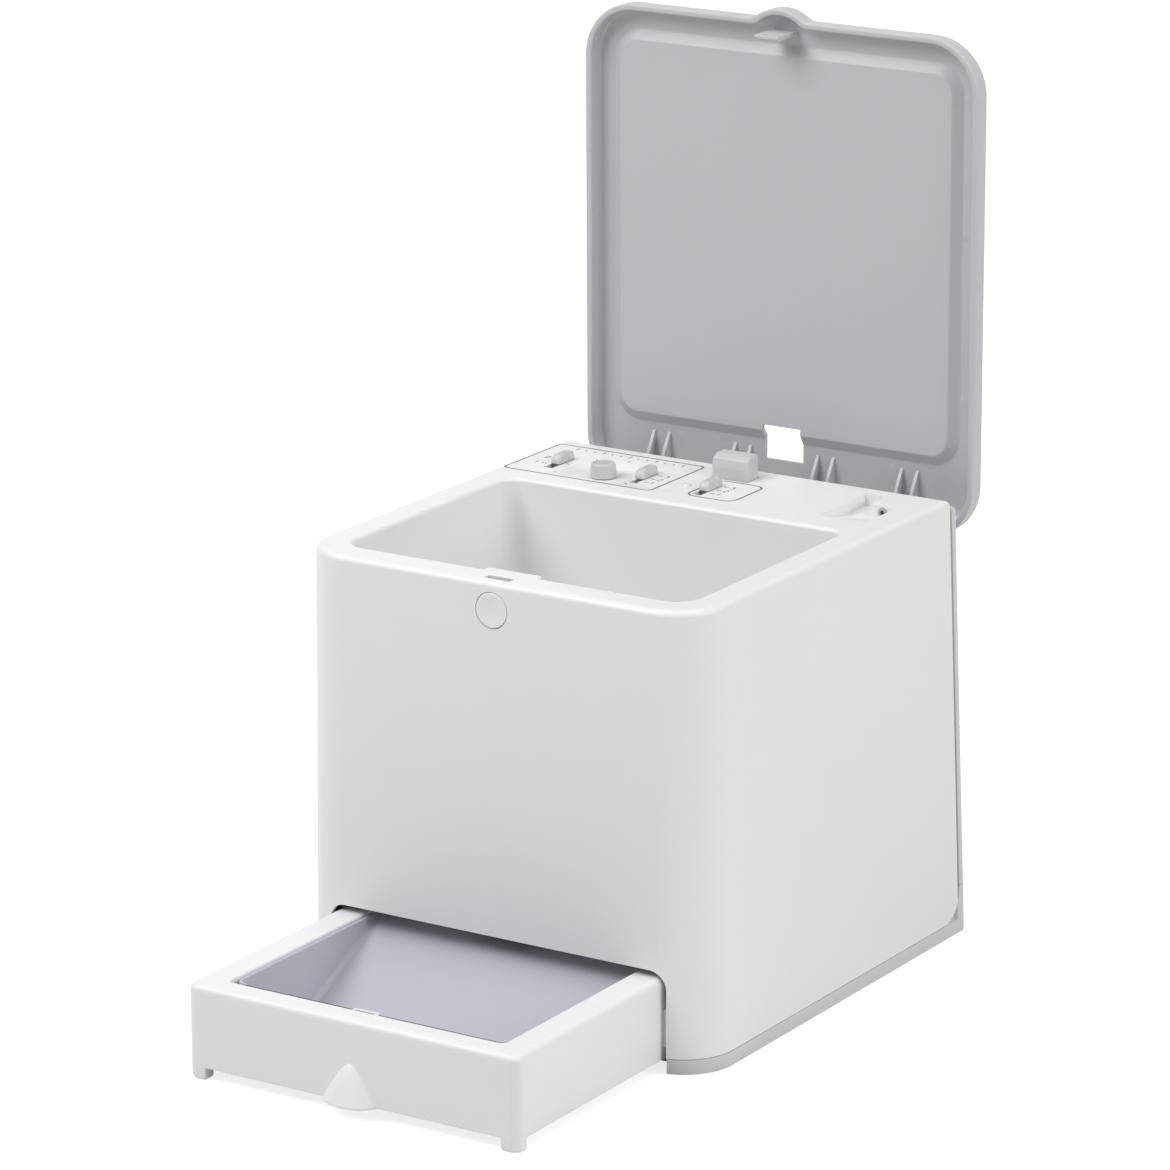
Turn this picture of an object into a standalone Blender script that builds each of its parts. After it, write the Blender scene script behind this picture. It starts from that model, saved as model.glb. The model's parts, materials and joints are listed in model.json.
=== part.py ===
"""Remote treat dispenser: a white hood with a hopper, a grey flip-up lid, a grey base and a pull-out drawer.

World frame: metres, Z up, X to the right seen from the front, the front faces -Y. The origin lies on the
floor under the middle of the deck. The lid stands open and the drawer is pulled out.
"""
import math

import bmesh
import bpy
from mathutils import Matrix, Vector

# Driving dimensions of the housing
BODY_WIDTH = 0.2160
HOOD_DEPTH = 0.2291
DECK_HEIGHT = 0.2175
SIDE_LEAN = 0.0037
REAR_LEAN = 0.0080
WALL = 0.0025
FRONT_CORNER = 0.0250
REAR_CORNER = 0.0050
HOOD_REAR_CORNER = 0.0020
DECK_ROUND = 0.0030
SIDE_CORNER = 0.0155
BAND = 0.0075
BASE_LIFT = 0.0004
BASE_FLOOR = 0.0038
PARTING_HEIGHT = 0.0245
COVER_DROP = 0.0050
SIDE = BODY_WIDTH / 2
FRONT = -HOOD_DEPTH / 2
HOOD_REAR = HOOD_DEPTH / 2
COVER_TOP = DECK_HEIGHT - COVER_DROP

# Hopper, disc and outlet
WELL_MARGIN = 0.0155
WELL_FRONT_MARGIN = 0.01655
CONTROLS_DEPTH = 0.07305
WELL_WIDTH = BODY_WIDTH - 2 * WELL_MARGIN
WELL_FRONT = FRONT + WELL_FRONT_MARGIN
WELL_REAR = HOOD_REAR - CONTROLS_DEPTH
WELL_CORNER = 0.0120
WELL_REAR_CORNER = 0.0080
WELL_ROUND = 0.0020
LIP_BOTTOM = 0.1623
FUNNEL_HEIGHT = 0.0240
DISC_RADIUS = 0.0648
DISC_THICKNESS = 0.0160
DISC_PLAY = 0.0007
POCKET_COUNT = 8
POCKET_RADIUS = 0.0142
POCKET_PITCH = 0.0460
FLOOR_THICKNESS = 0.0030
FLOOR_TOP = 0.1205
SHAFT_RADIUS = 0.0040
PLATFORM_BOTTOM = 0.0500
PLATFORM_THICKNESS = 0.0024

# Drawer
DRAWER_REACH = 0.11595
DRAWER_HELD = 0.03255
DRAWER_TRAVEL = 0.1160
DRAWER_MARGIN = 0.0189
DRAWER_FRONT = FRONT - DRAWER_REACH
DRAWER_REAR = FRONT + DRAWER_HELD
DRAWER_WIDTH = BODY_WIDTH - 2 * DRAWER_MARGIN
DRAWER_BOTTOM = 0.0064
DRAWER_TOP = 0.0454
DISH_MARGIN = 0.0151
DISH_FRONT_MARGIN = 0.0120
DISH_WIDTH = DRAWER_WIDTH - 2 * DISH_MARGIN
DISH_FRONT = DRAWER_FRONT + DISH_FRONT_MARGIN
DRAWER_SIDE_PLAY = 0.0027
DRAWER_TOP_PLAY = 0.0034

# Lid and its hinge
LID_OVERHANG = 0.0003
LID_TAIL = 0.01245
LID_WIDTH = BODY_WIDTH + 2 * LID_OVERHANG
LID_REAR = HOOD_REAR + LID_TAIL
LID_CORNER = 0.0270
LID_DEPTH = 0.0100
LID_PLATE = 0.0018
LID_WALL = 0.0030
LID_NOSE = 0.0160
HINGE_REACH = 0.00265
HINGE_DROP = 0.0169
HINGE_Y = HOOD_REAR + HINGE_REACH
HINGE_Z = DECK_HEIGHT - HINGE_DROP
BARREL_RADIUS = 0.0050
PIN_RADIUS = 0.0015
ARM_PLACES = (0.0232, 0.0697)
ARM_WIDTH = 0.0102

# Deck controls
SLIDER_TRAVEL = 0.0080
LEFT_SLIDER_INSET = (0.0220, 0.03655)
DIAL_INSET = (0.0495, 0.04335)
RIGHT_SLIDER_INSET = (0.0710, 0.03855)
MODE_SLIDER_X = 0.0005
MODE_SLIDER_INSET = 0.04105
LED_X = -0.0120
LED_INSET = 0.04255
LEFT_SLIDER = (-SIDE + LEFT_SLIDER_INSET[0], HOOD_REAR - LEFT_SLIDER_INSET[1])
DIAL_PLACE = (-SIDE + DIAL_INSET[0], HOOD_REAR - DIAL_INSET[1])
RIGHT_SLIDER = (-SIDE + RIGHT_SLIDER_INSET[0], HOOD_REAR - RIGHT_SLIDER_INSET[1])
MODE_SLIDER = (MODE_SLIDER_X, HOOD_REAR - MODE_SLIDER_INSET)
LED_PLACE = (LED_X, HOOD_REAR - LED_INSET)
BLOCK_WIDTH = 0.0198
BLOCK_DEPTH = 0.0113
BLOCK_INSET = 0.0181
BLOCK_Y = HOOD_REAR - BLOCK_INSET
BLOCK_HEIGHT = 0.0118
BLOCK_TRAVEL = 0.0030
BUTTON_DROP = 0.0135
BUTTON_HEIGHT = DECK_HEIGHT - BUTTON_DROP
BUTTON_RADIUS = 0.0083
TONGUE_INSET = 0.0066
TONGUE_Y = FRONT + TONGUE_INSET
TONGUE_WIDTH = 0.0130
TONGUE_THICKNESS = 0.0020
TONGUE_REACH = 0.0110
BOARD_DROP = 0.0199
BOARD_TOP = DECK_HEIGHT - BOARD_DROP
BOARD_THICKNESS = 0.0016

# Batteries, each lying along X
CELL_RADIUS = 0.0166
CELL_LENGTH = 0.0600
CELL_NUB = 0.0014
CELL_INSETS = (0.05995, 0.02625)
CELL_ROWS = tuple(HOOD_REAR - inset for inset in CELL_INSETS)
BAY_WALL = 0.0020

# Gear train
SLOW_MODULE = 0.0015
FAST_MODULE = 0.00125
WHEEL_TEETH = 32
PINION_TEETH = 8
IDLER_ANGLE = math.radians(40)
PINION_ANGLE = math.radians(20)

# Clearances shared by all pieces
GAP = 0.0003
RUNNING_FIT = 0.00008
SINK = 0.0008
OVERRUN = 0.0200
WELD = 0.00001
SMOOTH_ANGLE = math.radians(32)
FLAT_ANGLE = math.radians(1)

# Places worked out from the driving dimensions
HOOD_BOTTOM = BASE_LIFT + BAND
BASE_TOP_OF_FLOOR = BASE_LIFT + BASE_FLOOR
DECK_UNDERSIDE = DECK_HEIGHT - WALL
WELL_CENTRE_Y = (WELL_FRONT + WELL_REAR) / 2
FUNNEL_TOP = LIP_BOTTOM - GAP
DISC_BOTTOM = FLOOR_TOP + GAP
DISC_TOP = DISC_BOTTOM + DISC_THICKNESS
SKIRT_RADIUS = DISC_RADIUS + DISC_PLAY
FLOOR_BOTTOM = FLOOR_TOP - FLOOR_THICKNESS
PLATFORM_TOP = PLATFORM_BOTTOM + PLATFORM_THICKNESS
OUTLET_Y = WELL_CENTRE_Y - POCKET_PITCH
LID_LIP = DECK_HEIGHT + GAP
LID_TOP = LID_LIP + LID_DEPTH
BOARD_BOTTOM = BOARD_TOP - BOARD_THICKNESS
CELL_HEIGHT = BASE_TOP_OF_FLOOR + GAP + CELL_RADIUS


# Meshes of plain and outlined shapes

TURNS = {
    "XY": Matrix.Identity(4),
    "XZ": Matrix(((1, 0, 0, 0), (0, 0, -1, 0), (0, 1, 0, 0), (0, 0, 0, 1))),
    "YZ": Matrix(((0, 0, 1, 0), (1, 0, 0, 0), (0, 1, 0, 0), (0, 0, 0, 1))),
}


def mesh_from(build):
    """New mesh filled by a function that works on a bmesh."""
    shape = bmesh.new()
    build(shape)
    mesh = bpy.data.meshes.new("shape")
    shape.to_mesh(mesh)
    shape.free()
    return mesh


def box(low, high):
    """Box between two opposite corners."""
    low, high = Vector(low), Vector(high)
    size = high - low
    scale = Matrix.Diagonal((size.x, size.y, size.z, 1))
    place = Matrix.Translation((low + high) / 2) @ scale
    return mesh_from(lambda shape: bmesh.ops.create_cube(shape, size=1, matrix=place))


def cylinder(centre, radius, low, high, axis="Z", segments=18, end_radius=None):
    """Round bar or cone along an axis; centre holds the two coordinates square to it, in X, Y, Z order."""
    turn = {"Z": TURNS["XY"], "Y": TURNS["XZ"], "X": TURNS["YZ"]}[axis]
    middle = (low + high) / 2
    first, second = centre
    place = {"Z": (first, second, middle), "Y": (first, middle, second), "X": (middle, first, second)}[axis]
    end = radius if end_radius is None else end_radius
    if axis == "Y":
        radius, end = end, radius
    return mesh_from(lambda shape: bmesh.ops.create_cone(
        shape, cap_ends=True, segments=segments, radius1=radius, radius2=end, depth=high - low,
        matrix=Matrix.Translation(place) @ turn))


def outline_solid(loops, low, high, plane="XY"):
    """Flat outline with its holes, filled and extruded from low to high square to its plane."""
    curve = bpy.data.curves.new("outline", "CURVE")
    curve.dimensions = "2D"
    curve.fill_mode = "BOTH"
    curve.extrude = (high - low) / 2
    for loop in loops:
        spline = curve.splines.new("POLY")
        spline.points.add(len(loop) - 1)
        for point, (u, v) in zip(spline.points, loop):
            point.co = (u, v, 0, 1)
        spline.use_cyclic_u = True
    mesh = curve_mesh(curve)
    middle = (low + high) / 2
    if plane == "XZ":
        middle = -middle
    mesh.transform(TURNS[plane] @ Matrix.Translation((0, 0, middle)))
    return mesh


def curve_mesh(curve):
    """Closed mesh of a curve, with its caps welded on."""
    guide = bpy.data.objects.new("guide", curve)
    bpy.context.scene.collection.objects.link(guide)
    graph = bpy.context.evaluated_depsgraph_get()
    mesh = bpy.data.meshes.new_from_object(guide.evaluated_get(graph))
    bpy.data.objects.remove(guide)
    shape = bmesh.new()
    shape.from_mesh(mesh)
    bmesh.ops.remove_doubles(shape, verts=shape.verts, dist=WELD)
    bmesh.ops.recalc_face_normals(shape, faces=shape.faces)
    shape.to_mesh(mesh)
    shape.free()
    return mesh


def loft(loops):
    """Closed skin over a stack of loops with equal point counts, each anticlockwise seen from above."""
    def build(shape):
        rings = [[shape.verts.new(point) for point in loop] for loop in loops]
        count = len(rings[0])
        for lower, upper in zip(rings, rings[1:]):
            for index in range(count):
                after = (index + 1) % count
                shape.faces.new((lower[index], lower[after], upper[after], upper[index]))
        shape.faces.new(list(reversed(rings[0])))
        shape.faces.new(rings[-1])
    return mesh_from(build)


def turned_object(name, profile, steps=24):
    """Solid turned about Z by a Screw; the profile of (radius, height) runs down its outer side."""
    mesh = bpy.data.meshes.new(name)
    points = [(radius, 0, height) for radius, height in profile]
    mesh.from_pydata(points, [(index, index + 1) for index in range(len(points) - 1)], [])
    solid = bpy.data.objects.new(name, mesh)
    screw = solid.modifiers.new("turn", "SCREW")
    screw.axis = "Z"
    screw.steps = steps
    screw.render_steps = steps
    screw.use_merge_vertices = True
    screw.merge_threshold = WELD
    screw.use_smooth_shade = True
    return solid


def helix_mesh(radius, wire, low, high, turns, steps=7):
    """Round wire wound about Z between two heights, with flat first and last half turns."""
    curve = bpy.data.curves.new("coil", "CURVE")
    curve.dimensions = "3D"
    curve.bevel_depth = wire
    curve.bevel_resolution = 0
    curve.use_fill_caps = True
    count = turns * steps + 1
    spline = curve.splines.new("POLY")
    spline.points.add(count - 1)
    flat = steps / 2
    rising = count - 1 - 2 * flat
    for index, point in enumerate(spline.points):
        angle = math.tau * index / steps
        share = min(max((index - flat) / rising, 0), 1)
        height = low + wire + (high - low - 2 * wire) * share
        point.co = (radius * math.cos(angle), radius * math.sin(angle), height, 1)
    return curve_mesh(curve)


# Outlines

def arc(centre, radius, start, end, steps):
    """Points on an arc between two angles in degrees, both ends included."""
    angles = [math.radians(start + (end - start) * index / steps) for index in range(steps + 1)]
    return [(centre[0] + radius * math.cos(angle),
             centre[1] + radius * math.sin(angle)) for angle in angles]


def rounded_rectangle(x_low, x_high, y_low, y_high, corners, steps=6):
    """Anticlockwise rectangle; corners holds the radii front right, rear right, rear left, front left."""
    if not isinstance(corners, (tuple, list)):
        corners = (corners,) * 4
    places = (((x_high, y_low), (-1, 1), -90), ((x_high, y_high), (-1, -1), 0),
              ((x_low, y_high), (1, -1), 90), ((x_low, y_low), (1, 1), 180))
    points = []
    for radius, (corner, inward, start) in zip(corners, places):
        centre = (corner[0] + inward[0] * radius, corner[1] + inward[1] * radius)
        points += arc(centre, radius, start, start + 90, steps)
    return points


def circle_outline(centre, radius, count):
    """Anticlockwise circle whose points match those of a rounded rectangle with as many points."""
    first = -90 + 180 / count
    return arc(centre, radius, first, first + 360 - 360 / count, count - 1)


def at_height(loop, height):
    """Flat loop raised to a height."""
    return [(x, y, height) for x, y in loop]


# Objects, materials and Boolean steps

def new_collection(name):
    collection = bpy.data.collections.new(name)
    bpy.context.scene.collection.children.link(collection)
    return collection


def material(name, colour, roughness, metallic=0.0):
    """Plain surface with a colour, a roughness and a metallic value."""
    made = bpy.data.materials.get(name)
    if made is None:
        made = bpy.data.materials.new(name)
        made.use_nodes = True
        surface = made.node_tree.nodes["Principled BSDF"]
        surface.inputs["Base Color"].default_value = (*colour, 1)
        surface.inputs["Roughness"].default_value = roughness
        surface.inputs["Metallic"].default_value = metallic
    return made


FINISHES = {
    "white": ("white_plastic", (0.86, 0.86, 0.87), 0.38, 0.0),
    "grey": ("grey_plastic", (0.55, 0.55, 0.57), 0.42, 0.0),
    "dish": ("dish_plastic", (0.48, 0.49, 0.53), 0.40, 0.0),
    "key": ("key_plastic", (0.53, 0.52, 0.55), 0.40, 0.0),
    "acetal": ("gear_plastic", (0.80, 0.79, 0.74), 0.45, 0.0),
    "steel": ("steel", (0.62, 0.62, 0.64), 0.30, 1.0),
    "rubber": ("rubber", (0.10, 0.10, 0.11), 0.75, 0.0),
    "board": ("circuit_board", (0.05, 0.22, 0.10), 0.50, 0.0),
    "switch": ("switch_black", (0.06, 0.06, 0.07), 0.45, 0.0),
    "cell": ("cell_sleeve", (0.10, 0.11, 0.14), 0.35, 0.0),
    "lens": ("lens", (0.80, 0.82, 0.80), 0.15, 0.0),
}


def finish_mesh(mesh):
    mesh.shade_smooth()
    mesh.set_sharp_from_angle(angle=SMOOTH_ANGLE)


def part(name, shape, finish):
    """Named piece of the model from a mesh or an object, with its own material."""
    if isinstance(shape, bpy.types.Mesh):
        finish_mesh(shape)
        shape = bpy.data.objects.new(name, shape)
    shape.name = name
    shape.data.name = name
    label, colour, roughness, metallic = FINISHES[finish]
    shape.data.materials.clear()
    shape.data.materials.append(material(f"{name}_{label}", colour, roughness, metallic))
    MODEL.objects.link(shape)
    return shape


def boolean(target, mesh, operation):
    """Boolean step on a piece, with a hidden tool that follows the piece."""
    finish_mesh(mesh)
    tool = bpy.data.objects.new(f"{target.name}_{operation.lower()}", mesh)
    tool.hide_render = True
    tool.display_type = "WIRE"
    tool.parent = target
    CUTTERS.objects.link(tool)
    step = target.modifiers.new(operation.lower(), "BOOLEAN")
    step.operation = operation
    step.solver = "EXACT"
    step.object = tool
    return tool


def cut(target, *meshes):
    for mesh in meshes:
        boolean(target, mesh, "DIFFERENCE")


def fuse(target, *meshes):
    for mesh in meshes:
        boolean(target, mesh, "UNION")


def pivot_at(piece, point, rotation=(0, 0, 0)):
    """Puts a piece's origin, with its tools, on a point and turns it there."""
    shift = Matrix.Translation(-Vector(point))
    for thing in (piece, *piece.children):
        thing.data.transform(shift)
    piece.location = point
    piece.rotation_euler = rotation
    return piece


def round_edges(mesh, radius, steps, chosen):
    """Rounds the edges whose end points the test chooses."""
    shape = bmesh.new()
    shape.from_mesh(mesh)
    bmesh.ops.dissolve_limit(shape, angle_limit=FLAT_ANGLE, verts=shape.verts[:], edges=shape.edges[:])
    edges = [edge for edge in shape.edges if chosen(edge.verts[0].co, edge.verts[1].co)]
    bmesh.ops.bevel(shape, geom=edges, offset=radius, offset_type="OFFSET", segments=steps, profile=0.5,
                    affect="EDGES", clamp_overlap=True)
    shape.to_mesh(mesh)
    shape.free()
    return mesh


def both_at(axis, value):
    """Test for edges that lie in a plane square to an axis."""
    return lambda first, second: abs(first[axis] - value) < WELD and abs(second[axis] - value) < WELD


# Housing

def lean(mesh):
    """Spreads the sides and the rear outward towards the floor."""
    for vertex in mesh.vertices:
        drop = (DECK_HEIGHT - vertex.co.z) / DECK_HEIGHT
        vertex.co.y += REAR_LEAN * drop * (vertex.co.y - FRONT) / HOOD_DEPTH
        vertex.co.x *= 1 + SIDE_LEAN * drop / (BODY_WIDTH / 2)
    return mesh


def body_loop(inset, rear, rear_corner, steps=5):
    """Plan outline of the body, drawn in by an inset all round."""
    half = BODY_WIDTH / 2 - inset
    front_corner = FRONT_CORNER - inset
    corner = max(rear_corner - inset, GAP)
    return rounded_rectangle(-half, half, FRONT + inset, rear - inset,
                             (front_corner, corner, corner, front_corner), steps)


def body_solid(inset, rear, rear_corner, low, high):
    return lean(outline_solid([body_loop(inset, rear, rear_corner)], low, high))


def rounded_top(loop_at, low, high, radius, steps):
    """Solid between two heights whose top edge is rounded; loop_at gives the plan outline for an inset."""
    loops = [at_height(loop_at(0), low)]
    for index in range(steps + 1):
        angle = math.pi / 2 * index / steps
        inset = radius * (1 - math.cos(angle))
        loops.append(at_height(loop_at(inset), high - radius * (1 - math.sin(angle))))
    return loft(loops)


def rear_at(height):
    """Y of the hood's rear face at a height."""
    return HOOD_REAR + REAR_LEAN * (DECK_HEIGHT - height) / DECK_HEIGHT


def corner_arc(offset, steps=7):
    """Arc of the lower rear corner in the YZ plane, run from the bottom up to the rear face."""
    radius = SIDE_CORNER + offset
    centre_z = HOOD_BOTTOM + SIDE_CORNER
    centre_y = rear_at(centre_z) - SIDE_CORNER
    slant = math.degrees(math.atan2(REAR_LEAN, DECK_HEIGHT))
    return arc((centre_y, centre_z), radius, -90, slant, steps)


def outside_corner(offset):
    """Everything below and behind the lower rear corner, as a cutter."""
    points = corner_arc(offset)
    last_y, last_z = points[-1]
    outline = points + [(last_y + OVERRUN, last_z), (last_y + OVERRUN, -OVERRUN), (points[0][0], -OVERRUN)]
    half = BODY_WIDTH / 2 + OVERRUN
    return outline_solid([outline], -half, half, "YZ")


def inside_band(offset):
    """Everything in front of and above the grey band, as a cutter."""
    points = corner_arc(offset)
    top = DECK_HEIGHT + OVERRUN
    rear_top = rear_at(top) + offset
    outline = points + [(rear_top, top), (FRONT - OVERRUN, top), (FRONT - OVERRUN, points[0][1])]
    half = BODY_WIDTH / 2 + OVERRUN
    return outline_solid([outline], -half, half, "YZ")


def well_loop(spread, steps=5):
    """Plan outline of the hopper well, widened all round."""
    half = WELL_WIDTH / 2 + spread
    corner, rear_corner = WELL_CORNER + spread, WELL_REAR_CORNER + spread
    return rounded_rectangle(-half, half, WELL_FRONT - spread, WELL_REAR + spread,
                             (corner, rear_corner, rear_corner, corner), steps)


def well_cutter():
    """The well with its top edge rounded outward into the deck."""
    steps = 2
    loops = [at_height(well_loop(0), LIP_BOTTOM - OVERRUN)]
    for index in range(steps + 1):
        angle = math.pi / 2 * index / steps
        spread = WELL_ROUND * (1 - math.cos(angle))
        loops.append(at_height(well_loop(spread), DECK_HEIGHT - WELL_ROUND * (1 - math.sin(angle))))
    loops.append(at_height(well_loop(WELL_ROUND), DECK_HEIGHT + OVERRUN))
    return loft(loops)


CASE_SCREW_INSET = 0.0080
CASE_SCREW_MARGINS = (0.01855, 0.02855)
CASE_SCREW_X = SIDE - CASE_SCREW_INSET
CASE_SCREW_PLACES = (FRONT + CASE_SCREW_MARGINS[0], HOOD_REAR - CASE_SCREW_MARGINS[1])
CASE_BOSS_RADIUS = 0.0040
CASE_BOSS_TOP = 0.0340
SCREW_RADIUS = 0.0014
SCREW_PLAY = 0.0001
COVER_SCREW_INSET = 0.0060
COVER_SCREW_X = SIDE - COVER_SCREW_INSET
COVER_SCREW_HEIGHT = 0.1200
FLANGE_WIDTH = 0.0090


def add_case_bosses(hood):
    """Posts in the four corners that take the screws from the base."""
    bottom = BASE_TOP_OF_FLOOR + GAP
    rib = WALL / 2
    for side in (-1, 1):
        x = side * CASE_SCREW_X
        wall = side * (BODY_WIDTH / 2 + WALL / 2)
        for y in CASE_SCREW_PLACES:
            fuse(hood, cylinder((x, y), CASE_BOSS_RADIUS, bottom, CASE_BOSS_TOP, segments=16))
            fuse(hood, box((min(x, wall), y - rib, HOOD_BOTTOM + SINK),
                           (max(x, wall), y + rib, CASE_BOSS_TOP - SINK)))
            cut(hood, cylinder((x, y), SCREW_RADIUS + SCREW_PLAY, bottom - OVERRUN, CASE_BOSS_TOP - WALL,
                               segments=12))


LATCH_SLOT_PLAY = 0.0011
LATCH_PAD_HALF = 0.0145
LATCH_PAD_REACH = 0.0042
LATCH_PAD_HEIGHT = 0.0165
LATCH_PAD_BOTTOM = DECK_HEIGHT - LATCH_PAD_HEIGHT
BUTTON_PLAY = 0.0003
BUTTON_BOSS_WALL = 0.0020
BUTTON_BOSS_DEPTH = 0.0085


def add_button_boss(hood):
    """Guide tube for the round release button, slit on top for the lid's tongue, and the pad behind it."""
    pad = rounded_rectangle(-LATCH_PAD_HALF, LATCH_PAD_HALF, WELL_FRONT - SINK,
                            WELL_FRONT + LATCH_PAD_REACH,
                            (GAP, LATCH_PAD_REACH / 2, LATCH_PAD_REACH / 2, GAP), 3)
    fuse(hood, outline_solid([pad], LATCH_PAD_BOTTOM, DECK_HEIGHT - SINK))
    bore = BUTTON_RADIUS + BUTTON_PLAY
    rear = FRONT + BUTTON_BOSS_DEPTH
    fuse(hood, cylinder((0, BUTTON_HEIGHT), bore + BUTTON_BOSS_WALL, FRONT + WALL - SINK, rear, "Y", 20))
    cut(hood, cylinder((0, BUTTON_HEIGHT), bore, FRONT - OVERRUN, rear + OVERRUN / 4, "Y", 28))
    half = TONGUE_WIDTH / 2 + BUTTON_PLAY
    play = TONGUE_THICKNESS / 2 + LATCH_SLOT_PLAY
    cut(hood, box((-half, TONGUE_Y - play, BUTTON_HEIGHT), (half, TONGUE_Y + play, DECK_HEIGHT + OVERRUN)))


SLIDER_NECK = (0.0040, 0.0100)
SLIDER_CAP = (0.0052, 0.0150)
SLIDER_CAP_HEIGHT = 0.0043
SLIDER_PLAY = 0.0004
DIAL_DISH_RADIUS = 0.0205
DIAL_DISH_FLOOR = 0.0150
DIAL_DISH_DEPTH = 0.0023
DIAL_DISH_INSET = 0.05855
DIAL_DISH_FRONT = HOOD_REAR - DIAL_DISH_INSET
DIAL_SHAFT_RADIUS = 0.0030
LED_RADIUS = 0.0023
RECESS_SIDE_INSETS = (0.0400, 0.0150)
RECESS_REAR_INSETS = (0.05555, 0.01155)
POCKET_LEFT, POCKET_RIGHT = (SIDE - inset for inset in RECESS_SIDE_INSETS)
POCKET_FRONT, POCKET_REAR = (HOOD_REAR - inset for inset in RECESS_REAR_INSETS)
POCKET_DEPTH = 0.0056
JACK_BLOCK_INSET = (0.0290, 0.02655)
JACK_INSET = 0.0220
JACK_BLOCK_LEFT = SIDE - JACK_BLOCK_INSET[0]
JACK_BLOCK_FRONT = HOOD_REAR - JACK_BLOCK_INSET[1]
JACK_X = SIDE - JACK_INSET
JACK_RADIUS = 0.0024
JACK_DROP = 0.0031
BOARD_LEFT_INSET = 0.0100
BOARD_REAR_INSETS = (0.06455, 0.00655)
BOARD_LEFT = -SIDE + BOARD_LEFT_INSET
BOARD_RIGHT = 0.0280
BOARD_FRONT, BOARD_REAR = (HOOD_REAR - inset for inset in BOARD_REAR_INSETS)
BOARD_BOSS_INSET = 0.0040
BOARD_BOSS_RADIUS = 0.0030


def add_deck_controls(hood):
    """Slots, dial dish, lens hole, button hole and the recess with the socket, with pads under the deck."""
    above = DECK_HEIGHT + OVERRUN
    below = DECK_UNDERSIDE - OVERRUN / 4
    pad = cylinder(DIAL_PLACE, DIAL_DISH_FLOOR + WALL, DECK_UNDERSIDE - DIAL_DISH_DEPTH, DECK_HEIGHT - SINK,
                   segments=30,
                   end_radius=DIAL_DISH_RADIUS)
    fuse(hood, pad)
    slope = (DIAL_DISH_RADIUS - DIAL_DISH_FLOOR) / DIAL_DISH_DEPTH
    dish = cylinder(DIAL_PLACE, DIAL_DISH_FLOOR, DECK_HEIGHT - DIAL_DISH_DEPTH,
                    DECK_HEIGHT + DIAL_DISH_DEPTH,
                    segments=30, end_radius=DIAL_DISH_FLOOR + 2 * slope * DIAL_DISH_DEPTH)
    for vertex in dish.vertices:
        vertex.co.y = max(vertex.co.y, DIAL_DISH_FRONT)
    cut(hood, dish)
    cut(hood, cylinder(DIAL_PLACE, DIAL_SHAFT_RADIUS + SLIDER_PLAY, below, above, segments=20))
    for x, y in (LEFT_SLIDER, RIGHT_SLIDER, MODE_SLIDER):
        half_x = SLIDER_NECK[0] / 2 + SLIDER_PLAY
        half_y = SLIDER_NECK[1] / 2 + SLIDER_PLAY
        cut(hood, box((x - half_x, y - half_y - SLIDER_TRAVEL, below), (x + half_x, y + half_y, above)))
    cut(hood, cylinder(LED_PLACE, LED_RADIUS + RUNNING_FIT, below, above, segments=20))
    half_x = BLOCK_WIDTH / 2 + SLIDER_PLAY
    half_y = BLOCK_DEPTH / 2 + SLIDER_PLAY
    cut(hood, box((-half_x, BLOCK_Y - half_y, below), (half_x, BLOCK_Y + half_y, above)))
    pocket_floor = DECK_HEIGHT - POCKET_DEPTH
    fuse(hood, box((POCKET_LEFT - WALL, POCKET_FRONT - WALL, pocket_floor - WALL),
                   (POCKET_RIGHT + WALL, POCKET_REAR + WALL, DECK_HEIGHT - SINK)))
    corner = WALL
    outline = [(POCKET_LEFT, POCKET_FRONT), (POCKET_RIGHT - corner, POCKET_FRONT),
               (POCKET_RIGHT, POCKET_FRONT + corner),
               (POCKET_RIGHT, JACK_BLOCK_FRONT), (JACK_BLOCK_LEFT, JACK_BLOCK_FRONT),
               (JACK_BLOCK_LEFT, POCKET_REAR),
               (POCKET_LEFT, POCKET_REAR)]
    cut(hood, outline_solid([outline], pocket_floor, above))
    cut(hood, cylinder((JACK_X, DECK_HEIGHT - JACK_DROP), JACK_RADIUS + RUNNING_FIT,
                       JACK_BLOCK_FRONT - WALL,
                       POCKET_REAR - WALL, "Y", 20))
    for x in (BOARD_LEFT + BOARD_BOSS_INSET, BOARD_RIGHT - BOARD_BOSS_INSET):
        for y in (BOARD_FRONT + BOARD_BOSS_INSET, BOARD_REAR - BOARD_BOSS_INSET):
            fuse(hood, cylinder((x, y), BOARD_BOSS_RADIUS, BOARD_TOP + GAP, DECK_HEIGHT - SINK,
                                segments=10))


OPENING_CORNER = 0.0085
WINDOW_BOTTOM = 0.0340
WINDOW_DROP = 0.0095
WINDOW_TOP = DECK_HEIGHT - WINDOW_DROP


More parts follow.
